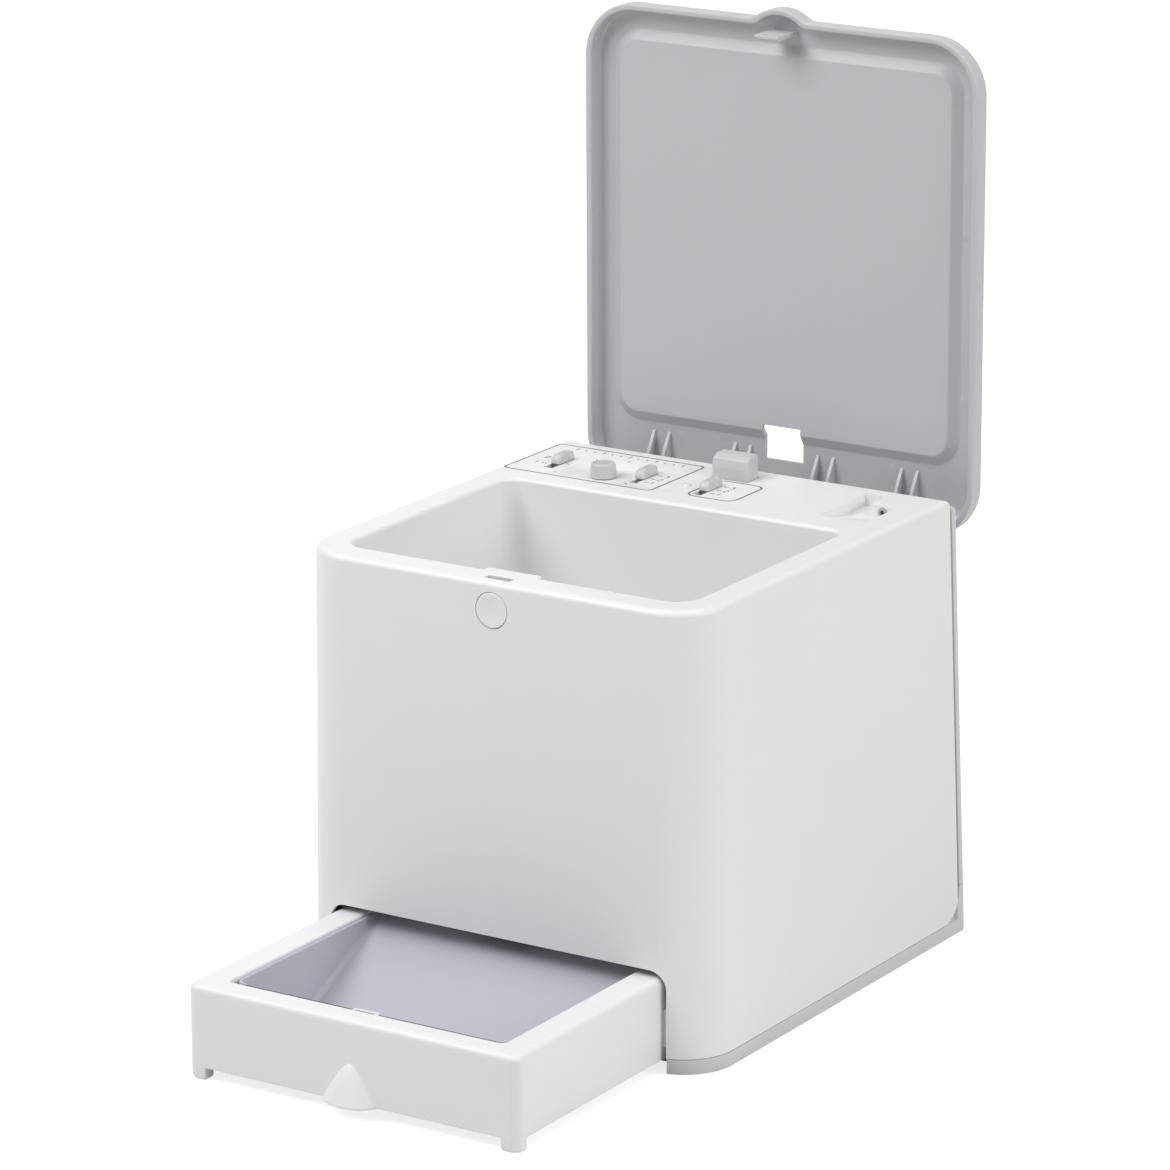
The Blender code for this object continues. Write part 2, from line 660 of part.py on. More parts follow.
def make_hood():
    """White housing: a drawn shell with the hopper well, the drawer opening and the rear flange."""
    shell = rounded_top(lambda inset: body_loop(inset, HOOD_REAR, HOOD_REAR_CORNER), HOOD_BOTTOM,
                        DECK_HEIGHT, DECK_ROUND, 3)
    hood = part("hood", lean(shell), "white")
    cut(hood, body_solid(WALL, HOOD_REAR, HOOD_REAR_CORNER, -OVERRUN, DECK_UNDERSIDE))
    cut(hood, outside_corner(0))
    window = BODY_WIDTH / 2 - FLANGE_WIDTH
    cut(hood, outline_solid([rounded_rectangle(-window, window, WINDOW_BOTTOM, WINDOW_TOP, WALL, 2)],
                            HOOD_REAR - OVERRUN / 2, HOOD_REAR + OVERRUN, "XZ"))
    half = DRAWER_WIDTH / 2 + DRAWER_SIDE_PLAY
    opening = rounded_rectangle(-half, half, -OVERRUN, DRAWER_TOP + DRAWER_TOP_PLAY,
                                (0, OPENING_CORNER, OPENING_CORNER, 0))
    cut(hood, outline_solid([opening], FRONT - OVERRUN, FRONT + OVERRUN / 2, "XZ"))
    fuse(hood, outline_solid([well_loop(WALL)], LIP_BOTTOM, DECK_HEIGHT - SINK))
    cut(hood, well_cutter())
    add_button_boss(hood)
    add_deck_controls(hood)
    add_case_bosses(hood)
    for side in (-1, 1):
        cut(hood, cylinder((side * COVER_SCREW_X, COVER_SCREW_HEIGHT), SCREW_RADIUS + SCREW_PLAY,
                           HOOD_REAR - OVERRUN / 2, HOOD_REAR + OVERRUN, "Y", 12))
    return hood


NOTCH_DEPTH = 0.0145
GUIDE_PLAY = 0.0004
STOP_REACH = 0.0059
GUIDE_HEIGHT = 0.0160
GUIDE_REAR = DRAWER_REAR + DRAWER_TRAVEL
RUNNER_WIDTH = 0.0033
BAY_HEIGHT = 0.0400
BAY_HALF = CELL_LENGTH + CELL_NUB + 0.0019
BAY_FRONT = CELL_ROWS[0] - CELL_RADIUS - GAP
BAY_REAR = CELL_ROWS[1] + CELL_RADIUS + GAP
DOOR_HALF = 0.0660
DOOR_INSETS = (0.07655, 0.00905)
DOOR_FRONT, DOOR_REAR = (HOOD_REAR - inset for inset in DOOR_INSETS)
DOOR_THICKNESS = 0.0024
DOOR_PLAY = 0.0003
DOOR_TAB = 0.0090
DOOR_TAB_HALF = 0.0060
DOOR_LEDGE = 0.0050
FOOT_RADIUS = 0.0070
FOOT_HEIGHT = 0.0016
FOOT_INSET = 0.0180
FOOT_MARGINS = (0.03655, 0.04055)
FOOT_X = SIDE - FOOT_INSET
FOOT_PLACES = (FRONT + FOOT_MARGINS[0], HOOD_REAR - FOOT_MARGINS[1])
HEAD_RADIUS = 0.0028
HEAD_HEIGHT = 0.0014
LEG_INSET = 0.0070
LEG_X = SIDE - LEG_INSET
LEG_SIZE = (0.0050, 0.0080)
FRONT_LEG_MARGIN = 0.03055
REAR_LEG_Y = 0.0300
LEG_PLACES = (FRONT + FRONT_LEG_MARGIN, REAR_LEG_Y)


def foot_places():
    return [(side * FOOT_X, y) for side in (-1, 1) for y in FOOT_PLACES]


def case_screw_places():
    return [(side * CASE_SCREW_X, y) for side in (-1, 1) for y in CASE_SCREW_PLACES]


def door_loop(play):
    """Plan outline of the battery door with its screw tab on the right."""
    middle = (DOOR_FRONT + DOOR_REAR) / 2
    tab = DOOR_TAB_HALF + play
    right = DOOR_HALF + play
    return [(-right, DOOR_FRONT - play), (right, DOOR_FRONT - play), (right, middle - tab),
            (right + DOOR_TAB, middle - tab), (right + DOOR_TAB, middle + tab), (right, middle + tab),
            (right, DOOR_REAR + play), (-right, DOOR_REAR + play)]


def door_screw_place():
    return (DOOR_HALF + DOOR_TAB / 2, (DOOR_FRONT + DOOR_REAR) / 2)


def make_base():
    """Grey base tray: band and floor in one, with drawer runners, battery bay and screw seats."""
    outer_rear = HOOD_REAR + BAND
    base = part("base", body_solid(0, outer_rear, REAR_CORNER, BASE_LIFT, PARTING_HEIGHT), "grey")
    cut(base, outside_corner(BAND), inside_band(GAP))
    tray = body_solid(WALL, outer_rear, REAR_CORNER, BASE_TOP_OF_FLOOR, PARTING_HEIGHT + OVERRUN)
    cut(base, tray)
    half = DRAWER_WIDTH / 2 + DRAWER_SIDE_PLAY + GAP
    cut(base, box((-half, FRONT - OVERRUN, -OVERRUN),
                  (half, FRONT + NOTCH_DEPTH, PARTING_HEIGHT + OVERRUN)))
    floor = BASE_TOP_OF_FLOOR - SINK
    runner_top = DRAWER_BOTTOM - GAP
    front = FRONT + NOTCH_DEPTH + SINK
    guide = DRAWER_WIDTH / 2 + STOP_REACH + GUIDE_PLAY
    for side in (-1, 1):
        inner = side * (DRAWER_WIDTH / 2 - RUNNER_WIDTH + GAP)
        outer = side * (DRAWER_WIDTH / 2 + GAP)
        fuse(base, box((min(inner, outer), front, floor), (max(inner, outer), GUIDE_REAR, runner_top)))
        near, far = side * guide, side * (guide + WALL)
        guide_front = CASE_SCREW_PLACES[0] + CASE_BOSS_RADIUS + WALL
        fuse(base, box((min(near, far), guide_front, floor),
                       (max(near, far), GUIDE_REAR, floor + GUIDE_HEIGHT)))
    bay = [rounded_rectangle(-BAY_HALF - BAY_WALL, BAY_HALF + BAY_WALL, BAY_FRONT - BAY_WALL,
                             BAY_REAR + BAY_WALL, WALL, 2),
           rounded_rectangle(-BAY_HALF, BAY_HALF, BAY_FRONT, BAY_REAR, GAP, 1)]
    fuse(base, outline_solid(bay, floor, BAY_HEIGHT))
    cut(base, outline_solid([door_loop(DOOR_PLAY)], -OVERRUN, BASE_LIFT + DOOR_THICKNESS + GAP))
    cut(base, box((-DOOR_HALF + DOOR_LEDGE, DOOR_FRONT + DOOR_LEDGE / 2, -OVERRUN),
                  (DOOR_HALF - DOOR_LEDGE, DOOR_REAR - DOOR_LEDGE / 2, BASE_TOP_OF_FLOOR + SINK)))
    fuse(base, cylinder(door_screw_place(), CASE_BOSS_RADIUS, floor, floor + 2 * CASE_BOSS_RADIUS,
                        segments=16))
    cut(base, cylinder(door_screw_place(), SCREW_RADIUS + SCREW_PLAY, -OVERRUN,
                       floor + CASE_BOSS_RADIUS + WALL, segments=12))
    for place in foot_places():
        cut(base, cylinder(place, FOOT_RADIUS + GAP, -OVERRUN, FOOT_HEIGHT + GAP, segments=20))
    for place in case_screw_places():
        cut(base, cylinder(place, SCREW_RADIUS + SCREW_PLAY, -OVERRUN, BASE_TOP_OF_FLOOR + SINK,
                           segments=12))
        cut(base, cylinder(place, HEAD_RADIUS + GAP, -OVERRUN, BASE_LIFT + HEAD_HEIGHT + GAP, segments=16))
    return base


COVER_ROUND = 0.0012
EAR_WIDTH = 0.0030
EAR_PLAY = 0.0004
NOTCH_DROP = 0.0091
NOTCH_BOTTOM = HINGE_Z - NOTCH_DROP


def ear_places():
    """Middle of each hinge ear, on both sides of each lid arm."""
    reach = ARM_WIDTH / 2 + EAR_PLAY + EAR_WIDTH / 2
    return [side * (arm + step * reach) for side in (-1, 1) for arm in ARM_PLACES for step in (-1, 1)]


def make_rear_cover():
    """Grey back panel: a shallow pan with hinge ears at its top and screw pillars at its sides."""
    outer_rear = HOOD_REAR + BAND
    shell = rounded_top(lambda inset: body_loop(inset, outer_rear, REAR_CORNER), PARTING_HEIGHT + GAP,
                        COVER_TOP, COVER_ROUND, 2)
    cover = part("rear_cover", lean(shell), "grey")
    cut(cover, body_solid(WALL, outer_rear, REAR_CORNER, PARTING_HEIGHT - OVERRUN, COVER_TOP - WALL))
    cut(cover, inside_band(GAP))
    ear_front = HINGE_Y - BARREL_RADIUS - GAP
    wall = HOOD_REAR + BAND - WALL + SINK + REAR_LEAN * (DECK_HEIGHT - NOTCH_BOTTOM) / DECK_HEIGHT
    radius = HINGE_Y - ear_front
    for x in ear_places():
        outline = arc((HINGE_Y, HINGE_Z), radius, 90, 270, 5)
        outline += [(wall, HINGE_Z - radius - WALL), (wall, HINGE_Z + radius)]
        fuse(cover, outline_solid([outline], x - EAR_WIDTH / 2, x + EAR_WIDTH / 2, "YZ"))
    for side in (-1, 1):
        for arm in ARM_PLACES:
            half = ARM_WIDTH / 2 + EAR_PLAY
            cut(cover, box((side * arm - half, HOOD_REAR - BAND, NOTCH_BOTTOM),
                           (side * arm + half, HOOD_REAR + BAND + OVERRUN, COVER_TOP + OVERRUN)))
        low, high = sorted((side * (ARM_PLACES[0] - ARM_WIDTH - EAR_WIDTH),
                            side * (ARM_PLACES[1] + ARM_WIDTH + EAR_WIDTH)))
        cut(cover, cylinder((HINGE_Y, HINGE_Z), PIN_RADIUS + RUNNING_FIT, low, high, "X", 10))
        place = (side * COVER_SCREW_X, COVER_SCREW_HEIGHT)
        seat = rear_at(COVER_SCREW_HEIGHT) + GAP
        back = rear_at(COVER_SCREW_HEIGHT) + BAND
        fuse(cover, cylinder(place, CASE_BOSS_RADIUS - SINK, seat, back - SINK, "Y", 16))
        cut(cover, cylinder(place, SCREW_RADIUS + SCREW_PLAY, seat - OVERRUN, back + OVERRUN, "Y", 12))
        cut(cover, cylinder(place, HEAD_RADIUS + GAP, back - HEAD_HEIGHT - 2 * GAP, back + OVERRUN, "Y",
                            16))
    return cover


# Lid, modelled closed and then swung open about its hinge

PANEL_MARGIN = 0.0165
PANEL_FRONT_MARGIN = 0.01765
PANEL_REAR_MARGIN = 0.0289
PANEL_HALF = LID_WIDTH / 2 - PANEL_MARGIN
PANEL_FRONT = FRONT + PANEL_FRONT_MARGIN
PANEL_REAR = HINGE_Y - PANEL_REAR_MARGIN
PANEL_CORNER = 0.0100
PANEL_DROP = 0.0032
PANEL_SLOPE = 0.0047
HOLE_HALF = 0.0106
HOLE_MARGINS = (0.01145, 0.00615)
HOLE_FRONT = BLOCK_Y - HOLE_MARGINS[0]
HOLE_REAR = BLOCK_Y + HOLE_MARGINS[1]
TAB_CHORD = 0.0275
TAB_RISE = 0.0055
FIN_THICKNESS = 0.0016
FIN_SLOPE_SHARE = 1.7
FIN_MARGIN = 0.0204
FIN_FRONT = HINGE_Y - FIN_MARGIN
REAR_GAP_MARGIN = 0.0113
REAR_GAP_HALF = LID_WIDTH / 2 - REAR_GAP_MARGIN
REAR_GAP_HEIGHT = 0.0042


def lid_loop(inset):
    half = LID_WIDTH / 2 - inset
    return rounded_rectangle(-half, half, FRONT + inset, LID_REAR - inset, LID_CORNER - inset, 6)


def nose_profile(inset, low):
    """Side outline of the lid: flat on top, rolled down at the rear, drawn in by an inset."""
    top = LID_TOP - inset
    centre = (LID_REAR - LID_NOSE, LID_TOP - LID_NOSE)
    rolled = arc(centre, LID_NOSE - inset, 0, 90, 6)
    return [(FRONT - OVERRUN, low), (LID_REAR - inset, low)] + rolled + [(FRONT - OVERRUN, top)]


def lid_blank(inset, low, high, plate):
    """Plan outline of the lid, cut along its side outline."""
    blank = bpy.data.objects.new("lid_blank", outline_solid([lid_loop(inset)], low, high))
    return blank, outline_solid([nose_profile(plate, low - OVERRUN)], -LID_WIDTH, LID_WIDTH, "YZ")


def evaluated(piece):
    """Finished mesh of an object with its Boolean steps applied; the object and its tools are removed."""
    graph = bpy.context.evaluated_depsgraph_get()
    mesh = bpy.data.meshes.new_from_object(piece.evaluated_get(graph))
    for tool in piece.children:
        bpy.data.objects.remove(tool)
    bpy.data.objects.remove(piece)
    return mesh


def lid_volume(inset, low, high, plate):
    """Closed mesh of the lid's outer or inner volume."""
    blank, side = lid_blank(inset, low, high, plate)
    CUTTERS.objects.link(blank)
    boolean(blank, side, "INTERSECT")
    return evaluated(blank)


def tab_loop(spread):
    """Round thumb tab in plan, bulging over the front edge."""
    half = TAB_CHORD / 2
    radius = (half ** 2 + TAB_RISE ** 2) / (2 * TAB_RISE)
    centre = (0, FRONT - TAB_RISE + radius)
    reach = radius + spread
    opening = math.degrees(math.asin(min(half / radius, 1)))
    return arc(centre, reach, -90 - opening, -90 + opening, 10) + [(half, FRONT + LID_WALL + SINK),
                                                                   (-half, FRONT + LID_WALL + SINK)]


def panel_loop(spread):
    half = PANEL_HALF + spread
    return rounded_rectangle(-half, half, PANEL_FRONT - spread, PANEL_REAR + spread, PANEL_CORNER + spread,
                             5)


def arm_outline():
    """Side outline of a hinge arm with its gusset, from the barrel up to the lid plate."""
    inside_front = HOOD_REAR + SINK
    plate = LID_TOP - LID_PLATE + SINK
    low_edge = LID_LIP + SINK
    slope_end = FIN_FRONT + (plate - low_edge) * FIN_SLOPE_SHARE
    barrel = arc((HINGE_Y, HINGE_Z), BARREL_RADIUS, 100, 360, 8)
    heel = HINGE_Y + BARREL_RADIUS
    return [(FIN_FRONT, plate), (slope_end, low_edge), (inside_front, low_edge),
            (inside_front, HINGE_Z + BARREL_RADIUS + SINK)] + barrel + [(heel + WALL, LID_LIP),
                                                                        (heel + WALL / 2, plate - WALL),
            (heel - BARREL_RADIUS, plate)]


def make_lid():
    """Grey moulded lid: skirt, sunk top panel, thumb tab, latch tongue, gussets and hinge arms."""
    lid = part("lid", lid_volume(0, LID_LIP, LID_TOP, 0), "grey")
    fuse(lid, outline_solid([tab_loop(0)], LID_LIP, LID_TOP - SINK))
    cut(lid, lid_volume(LID_WALL, LID_LIP - OVERRUN, LID_TOP, LID_PLATE))
    cut(lid, outline_solid([tab_loop(-LID_PLATE)], LID_LIP - OVERRUN, LID_TOP - SINK - LID_PLATE))
    underside = LID_TOP - LID_PLATE
    fuse(lid, loft([at_height(panel_loop(0), underside - PANEL_DROP),
                    at_height(panel_loop(PANEL_SLOPE), underside),
                    at_height(panel_loop(PANEL_SLOPE), underside + SINK)]))
    recess = PANEL_DROP - GAP
    cut(lid, loft([at_height(panel_loop(-SINK), LID_TOP - recess),
                   at_height(panel_loop(PANEL_SLOPE - LID_PLATE), LID_TOP),
                   at_height(panel_loop(PANEL_SLOPE - LID_PLATE), LID_TOP + OVERRUN)]))
    cut(lid, box((-HOLE_HALF, HOLE_FRONT, LID_LIP - OVERRUN), (HOLE_HALF, HOLE_REAR, LID_TOP + OVERRUN)))
    cut(lid, box((-REAR_GAP_HALF, LID_REAR - LID_NOSE, LID_LIP - OVERRUN),
                 (REAR_GAP_HALF, LID_REAR + OVERRUN, LID_LIP + REAR_GAP_HEIGHT)))
    half = TONGUE_WIDTH / 2
    tongue_low = LID_LIP - TONGUE_REACH
    thin = TONGUE_THICKNESS / 2
    fuse(lid, box((-half, TONGUE_Y - thin, tongue_low), (half, TONGUE_Y + thin, underside + SINK)))
    for side in (-1, 1):
        for arm in ARM_PLACES:
            x = side * arm
            core = ARM_WIDTH / 2 - FIN_THICKNESS
            for fin in (-1, 1):
                middle = x + fin * (ARM_WIDTH - FIN_THICKNESS) / 2
                fuse(lid, outline_solid([arm_outline()], middle - FIN_THICKNESS / 2,
                                        middle + FIN_THICKNESS / 2, "YZ"))
            fuse(lid, outline_solid([arm_outline()[2:]], x - core - SINK, x + core + SINK, "YZ"))
            cut(lid, cylinder((HINGE_Y, HINGE_Z), PIN_RADIUS + RUNNING_FIT, x - ARM_WIDTH, x + ARM_WIDTH,
                              "X", 10))
    return pivot_at(lid, (0, HINGE_Y, HINGE_Z), (math.radians(-90), 0, 0))


def make_hinge_pins():
    """Steel rods, one on each side, through the cover's ears and the lid's arms."""
    reach = ARM_WIDTH / 2 + EAR_PLAY + EAR_WIDTH
    for label, side in (("left", -1), ("right", 1)):
        low, high = sorted((side * (ARM_PLACES[0] - reach), side * (ARM_PLACES[1] + reach)))
        part(f"hinge_pin_{label}", cylinder((HINGE_Y, HINGE_Z), PIN_RADIUS, low, high, "X", 10), "steel")


# Drawer and its dish

PULL_HALF = 0.0145
PULL_DEPTH = 0.0090
PULL_HEIGHT = 0.0190
PULL_TIP = 0.0015
DRAWER_FOOT = (0.0098, 0.0070)
DRAWER_FOOT_LIFT = 0.0003
DRAWER_CORNER = 0.0040
DRAWER_ROUND = 0.0015
RIM_SKIRT = 0.0060
CATCH_HALF = 0.0065
CATCH_REACH = 0.0027
CATCH_SLOT_HALF = 0.0052
CATCH_SLOT = 0.0023
STOP_DEPTH = 0.0057
STOP_BOTTOM = 0.0120
STOP_TOP = 0.0300


def make_drawer():
    """White pull-out drawer: a frame open below, with front feet, a hollow finger pull and side stops."""
    half = DRAWER_WIDTH / 2
    shell = outline_solid([rounded_rectangle(-half, half, DRAWER_FRONT, DRAWER_REAR,
                                             (DRAWER_CORNER, GAP, GAP, DRAWER_CORNER), 4)],
                          DRAWER_BOTTOM, DRAWER_TOP)
    round_edges(shell, DRAWER_ROUND, 2, both_at(2, DRAWER_TOP))
    drawer = part("drawer", shell, "white")
    pull = cylinder((0, 0), PULL_HALF, DRAWER_BOTTOM, DRAWER_BOTTOM + PULL_HEIGHT, segments=20,
                    end_radius=PULL_TIP)
    hollow_share = 0.84
    grip = cylinder((0, 0), PULL_HALF * hollow_share, DRAWER_BOTTOM - SINK,
                    DRAWER_BOTTOM + PULL_HEIGHT * hollow_share,
                    segments=20, end_radius=PULL_TIP / 2)
    for mesh, depth in ((pull, PULL_DEPTH), (grip, PULL_DEPTH * hollow_share)):
        radius = PULL_HALF if mesh is pull else PULL_HALF * hollow_share
        mesh.transform(Matrix.Translation((0, DRAWER_FRONT + SINK, 0)) @ Matrix.Diagonal((1, depth / radius,
                                                                                          1, 1)))
    fuse(drawer, pull)
    inner = half - WALL
    cut(drawer, outline_solid([rounded_rectangle(-inner, inner, DRAWER_FRONT + WALL, DRAWER_REAR - WALL,
                                                 DRAWER_ROUND, 2)],
                              -OVERRUN, DRAWER_TOP - WALL))
    cut(drawer, grip)
    foot_x, foot_y = DRAWER_FOOT
    for side in (-1, 1):
        low, high = sorted((side * (half - foot_x), side * half))
        corners = (DRAWER_CORNER, GAP, GAP, GAP) if side > 0 else (GAP, GAP, GAP, DRAWER_CORNER)
        post = rounded_rectangle(low, high, DRAWER_FRONT, DRAWER_FRONT + foot_y, corners, 4)
        fuse(drawer, outline_solid([post], DRAWER_FOOT_LIFT, DRAWER_TOP - WALL + SINK))
        near, far = sorted((side * (half - SINK), side * (half + STOP_REACH)))
        swing = math.sqrt((FRONT_CORNER - WALL) ** 2 - (half + STOP_REACH - BODY_WIDTH / 2 + FRONT_CORNER) ** 2)
        stop_front = FRONT + FRONT_CORNER - swing + GAP
        fuse(drawer, box((near, stop_front, STOP_BOTTOM), (far, stop_front + STOP_DEPTH, STOP_TOP)))
    dish = DISH_WIDTH / 2
    outer = rounded_rectangle(-dish - 2 * SINK, dish + 2 * SINK, DISH_FRONT - 2 * SINK, DRAWER_REAR - SINK,
                              WALL, 2)
    fuse(drawer, outline_solid([outer], DRAWER_TOP - RIM_SKIRT, DRAWER_TOP - SINK))
    cut(drawer, outline_solid([rounded_rectangle(-dish, dish, DISH_FRONT, DRAWER_REAR - WALL, WALL, 3)],
                              DRAWER_BOTTOM, DRAWER_TOP + OVERRUN))
    fuse(drawer, box((-CATCH_HALF, DISH_FRONT - SINK, DRAWER_TOP - WALL),
                     (CATCH_HALF, DISH_FRONT + CATCH_REACH, DRAWER_TOP - GAP)))
    cut(drawer, box((-CATCH_SLOT_HALF, DISH_FRONT - CATCH_SLOT / 2, DRAWER_TOP - RIM_SKIRT - SINK),
                    (CATCH_SLOT_HALF, DISH_FRONT + CATCH_SLOT / 2, DRAWER_TOP + OVERRUN)))
    return pivot_at(drawer, (0, (DRAWER_FRONT + DRAWER_REAR) / 2, DRAWER_BOTTOM))


DISH_WALL = 0.0016
DISH_TOP = 0.0440
DISH_FLOOR = 0.0095
RAMP_MARGINS = (0.0545, 0.0170)
RAMP_START = DRAWER_FRONT + RAMP_MARGINS[0]
RAMP_TOP_Y = DRAWER_REAR - RAMP_MARGINS[1]
RAMP_TOP = 0.0434
RAMP_BEND_SHARE = 0.35
RAMP_RISE_POWER = 1.15


def ramp_profile(drop):
    """Floor of the dish in side view: flat in front, a hollow bend, a ramp and a rounded top edge."""
    low = DISH_FLOOR - drop
    high = RAMP_TOP - drop
    run = RAMP_TOP_Y - RAMP_START
    points = []
    steps = 12
    for index in range(steps + 1):
        share = index / steps
        ease = share * share * (3 - 2 * share)
        lift = RAMP_BEND_SHARE * ease + (1 - RAMP_BEND_SHARE) * share ** RAMP_RISE_POWER
        points.append((RAMP_START + run * share, low + (high - low) * lift))
    return points


def make_tray_insert():
    """Blue-grey dish clipped into the drawer, its floor a ramp that climbs to the rear."""
    half = DISH_WIDTH / 2 - GAP
    front = DISH_FRONT + CATCH_REACH + GAP
    rear = DRAWER_REAR - WALL - GAP
    bottom = DISH_FLOOR - DISH_WALL
    insert = part("tray_insert",
                  outline_solid([rounded_rectangle(-half, half, front, rear, 2 * WALL, 4)], bottom,
                                DISH_TOP), "dish")
    below = [(front - OVERRUN, bottom)] + ramp_profile(DISH_WALL) + [(rear + OVERRUN, RAMP_TOP - DISH_WALL),
                                                                     (rear + OVERRUN, -OVERRUN),
                                                                      (front - OVERRUN, -OVERRUN)]
    cut(insert, outline_solid([below], -DISH_WIDTH, DISH_WIDTH, "YZ"))
    above = [(front + DISH_WALL, DISH_FLOOR)] + ramp_profile(0) + [(rear + OVERRUN, RAMP_TOP),
                                                                   (rear + OVERRUN, DISH_TOP + OVERRUN),
                                                                    (front + DISH_WALL, DISH_TOP + OVERRUN)]
    cut(insert, outline_solid([above], -half + DISH_WALL, half - DISH_WALL, "YZ"))
    return pivot_at(insert, (0, (DRAWER_FRONT + DRAWER_REAR) / 2, DRAWER_BOTTOM))


# Hopper, metering disc and outlet

COLLAR_WALL = 0.0022
COLLAR_HEIGHT = 0.0070


def make_hopper_funnel():
    """White lower hopper, drawn from the rectangular well down to the round disc."""
    count = len(well_loop(0))
    centre = (0, WELL_CENTRE_Y)
    round_top = FUNNEL_TOP - FUNNEL_HEIGHT
    outer_ring = circle_outline(centre, SKIRT_RADIUS + COLLAR_WALL, count)
    inner_ring = circle_outline(centre, SKIRT_RADIUS, count)
    collar_low = FUNNEL_TOP - COLLAR_WALL
    body = loft([at_height(outer_ring, DISC_BOTTOM), at_height(outer_ring, round_top),
                 at_height(well_loop(COLLAR_WALL), collar_low),
                 at_height(well_loop(COLLAR_WALL), FUNNEL_TOP)])
    funnel = part("hopper_funnel", body, "white")
    fuse(funnel, outline_solid([well_loop(WALL + GAP + COLLAR_WALL)], collar_low + SINK,
                               FUNNEL_TOP + COLLAR_HEIGHT))
    cut(funnel, outline_solid([well_loop(WALL + GAP)], FUNNEL_TOP, FUNNEL_TOP + OVERRUN))
    cut(funnel, loft([at_height(inner_ring, DISC_BOTTOM - OVERRUN), at_height(inner_ring, round_top),
                      at_height(well_loop(0), FUNNEL_TOP), at_height(well_loop(0), FUNNEL_TOP + OVERRUN)]))
    return funnel


FLOOR_HALF = 0.0690
FLOOR_CORNER = 0.0080
FLOOR_BOSS_RADIUS = 0.0090
FLOOR_BOSS_DEPTH = 0.0055


def make_hopper_floor():
    """White plate under the disc, with the outlet hole and the bearing of the disc shaft."""
    loop = rounded_rectangle(-FLOOR_HALF, FLOOR_HALF, WELL_CENTRE_Y - FLOOR_HALF,
                             WELL_CENTRE_Y + FLOOR_HALF, FLOOR_CORNER, 3)
    floor = part("hopper_floor", outline_solid([loop], FLOOR_BOTTOM, FLOOR_TOP), "white")
    centre = (0, WELL_CENTRE_Y)
    fuse(floor, cylinder(centre, FLOOR_BOSS_RADIUS, FLOOR_BOTTOM - FLOOR_BOSS_DEPTH, FLOOR_BOTTOM + SINK))
    cut(floor, cylinder(centre, SHAFT_RADIUS + RUNNING_FIT, FLOOR_BOTTOM - OVERRUN, FLOOR_TOP + OVERRUN))
    cut(floor, cylinder((0, OUTLET_Y), POCKET_RADIUS + GAP, FLOOR_BOTTOM - OVERRUN, FLOOR_TOP + OVERRUN,
                        segments=20))
    return floor


HUB_RADIUS = 0.0100
RIM_BEAD = 0.0010


def make_metering_disc():
    """Turning disc with a ring of through pockets, each of which carries one portion to the outlet."""
    profile = [(0, DISC_TOP), (DISC_RADIUS - RIM_BEAD, DISC_TOP), (DISC_RADIUS, DISC_TOP - RIM_BEAD),
               (DISC_RADIUS, DISC_BOTTOM),
               (0, DISC_BOTTOM)]
    profile = [(radius, height - DISC_BOTTOM) for radius, height in profile]
    disc = part("metering_disc", turned_object("metering_disc", profile, 36), "acetal")
    for index in range(POCKET_COUNT):
        angle = math.tau * index / POCKET_COUNT - math.pi / 2
        place = (POCKET_PITCH * math.cos(angle), POCKET_PITCH * math.sin(angle))
        cut(disc, cylinder(place, POCKET_RADIUS, -OVERRUN, DISC_THICKNESS + OVERRUN, segments=14))
    cut(disc, cylinder((0, 0), SHAFT_RADIUS + RUNNING_FIT, -OVERRUN, DISC_THICKNESS + OVERRUN))
    disc.location = (0, WELL_CENTRE_Y, DISC_BOTTOM)
    return disc


CONE_RADIUS = 0.0270
CONE_HEIGHT = 0.0160
CONE_TIP = 0.0060
VANE_THICKNESS = 0.0024
VANE_SHARE = 0.75
SHAFT_SOCKET = 0.0040


def make_stirring_cone():
    """Cone on the middle of the disc with three vanes that keep the treats moving."""
    base = DISC_TOP + GAP - DISC_BOTTOM
    profile = [(0, base + CONE_HEIGHT), (CONE_TIP, base + CONE_HEIGHT - CONE_TIP / 3),
               (CONE_RADIUS, base + VANE_THICKNESS),
               (CONE_RADIUS, base), (0, base)]
    cone = part("stirring_cone", turned_object("stirring_cone", profile, 18), "acetal")
    for index in range(3):
        vane = box((0, -VANE_THICKNESS / 2, base + VANE_THICKNESS / 2),
                   (CONE_RADIUS - VANE_THICKNESS / 2, VANE_THICKNESS / 2,
                   base + CONE_HEIGHT * VANE_SHARE))
        vane.transform(Matrix.Rotation(math.tau * index / 3 + math.pi / 6, 4, "Z"))
        fuse(cone, vane)
    cut(cone, cylinder((0, 0), SHAFT_RADIUS + RUNNING_FIT, base - OVERRUN, base + SHAFT_SOCKET))
    cone.location = (0, WELL_CENTRE_Y, DISC_BOTTOM)
    return cone


GUARD_HALF = 0.0165
GUARD_THICKNESS = 0.0020
GUARD_LIFT = 0.0006


def make_outlet_guard():
    """Plate over the pocket at the outlet, seated against the funnel's skirt."""
    reach = SKIRT_RADIUS * math.cos(math.pi / len(well_loop(0))) - GAP
    opening = math.degrees(math.asin(GUARD_HALF / reach))
    outline = arc((0, WELL_CENTRE_Y), reach, -90 - opening, -90 + opening, 6)
    inner = WELL_CENTRE_Y - CONE_RADIUS - GUARD_LIFT
    outline += [(GUARD_HALF, inner - WALL), (GUARD_HALF - WALL, inner), (-GUARD_HALF + WALL, inner),
                (-GUARD_HALF, inner - WALL)]
    low = DISC_TOP + GUARD_LIFT
    return part("outlet_guard", outline_solid([outline], low, low + GUARD_THICKNESS), "white")


CHUTE_HALF = 0.0170
CHUTE_WALL = 0.0016
CHUTE_EXIT_DEPTH = 0.0250
CHUTE_EXIT_LIFT = 0.0020
CHUTE_FLANGE = 0.0040


